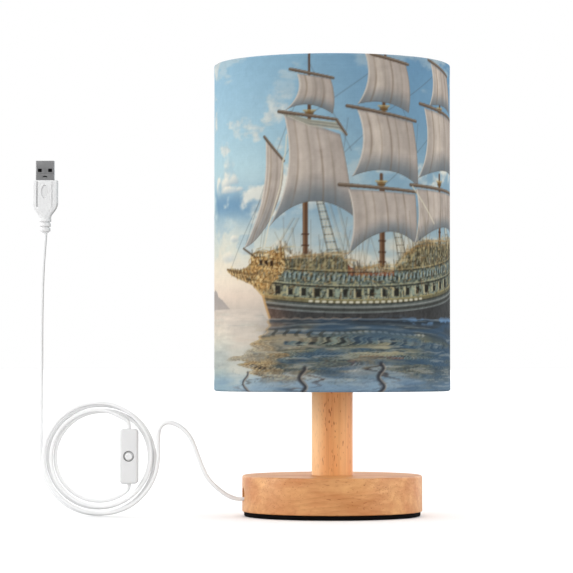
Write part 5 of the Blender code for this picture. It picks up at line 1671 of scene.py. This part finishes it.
# ---------------------------------------------------------------- floor, light, camera
def build_floor():
    """A round sheet just under the lamp."""
    count, z = 64, -0.25
    verts = [(0.0, 0.0, z)]
    for r in (400, 1500, 6000, 30000):
        verts += [(r * math.cos(2 * math.pi * k / count), r * math.sin(2 * math.pi * k / count), z)
                  for k in range(count)]
    faces = [(0, 1 + k, 1 + (k + 1) % count) for k in range(count)]
    for j in range(3):
        for k in range(count):
            a, b = 1 + j * count + k, 1 + j * count + (k + 1) % count
            faces.append((a, a + count, b + count, b))
    piece("floor", verts, faces, "studio_floor", smooth=False, turn_out=False)


def build_world():
    """White to the camera; its light grows from the room in front to the lit paper behind."""
    world = bpy.data.worlds.new("studio")
    world.use_nodes = True
    bpy.context.scene.world = world
    nodes, link = world.node_tree.nodes, world.node_tree.links.new
    nodes.clear()
    out = nodes.new("ShaderNodeOutputWorld")
    seen, given = (nodes.new("ShaderNodeBackground") for _ in range(2))
    which, path = nodes.new("ShaderNodeMixShader"), nodes.new("ShaderNodeLightPath")
    seen.inputs["Color"].default_value = (1, 1, 1, 1)
    seen.inputs["Strength"].default_value = 1.0
    given.inputs["Color"].default_value = (0.985, 0.99, 1.0, 1)
    where, apart = nodes.new("ShaderNodeTexCoord"), nodes.new("ShaderNodeSeparateXYZ")
    level = nodes.new("ShaderNodeMapRange")
    level.interpolation_type = "SMOOTHSTEP"
    # from y, to y, strength in front, strength behind
    for k, value in enumerate((-0.15, 0.55, 0.50, 1.65), 1):
        level.inputs[k].default_value = value
    link(where.outputs["Generated"], apart.inputs[0])
    link(apart.outputs["Y"], level.inputs[0])
    link(level.outputs[0], given.inputs["Strength"])
    link(path.outputs["Is Camera Ray"], which.inputs[0])
    link(given.outputs[0], which.inputs[1])
    link(seen.outputs[0], which.inputs[2])
    link(which.outputs[0], out.inputs[0])


def sun(name, direction, strength, angle, colour=(1, 1, 1)):
    """A sun that shines from a direction, with its angular size in degrees."""
    data = bpy.data.lights.new(name, "SUN")
    data.energy, data.angle, data.color = strength, math.radians(angle), colour
    obj = bpy.data.objects.new(name, data)
    obj.rotation_euler = Vector(direction).to_track_quat("Z", "Y").to_euler()
    bpy.context.scene.collection.objects.link(obj)


def build_camera():
    camera = bpy.data.objects.new("camera", bpy.data.cameras.new("camera"))
    camera.data.lens, camera.data.sensor_width = 172.95, 36.0
    camera.data.clip_end = 100.0
    camera.location = (0.0, -1.78, 0.0995)
    aim = Vector((-0.0295, 0.0, 0.14784)) - camera.location
    camera.rotation_euler = aim.to_track_quat("-Z", "Y").to_euler()
    bpy.context.scene.collection.objects.link(camera)
    bpy.context.scene.camera = camera
    bpy.context.scene.view_settings.view_transform = "Standard"


build_floor()
build_world()
sun("key", (-0.70, -1.0, 0.62), strength=0.80, angle=45, colour=(1.0, 0.99, 0.975))
sun("left", (-1.0, -0.10, 0.22), strength=1.30, angle=35)
sun("right", (1.0, -0.35, 0.35), strength=1.40, angle=50)
sun("top", (-0.1, -0.1, 1.0), strength=0.25, angle=60)
build_camera()
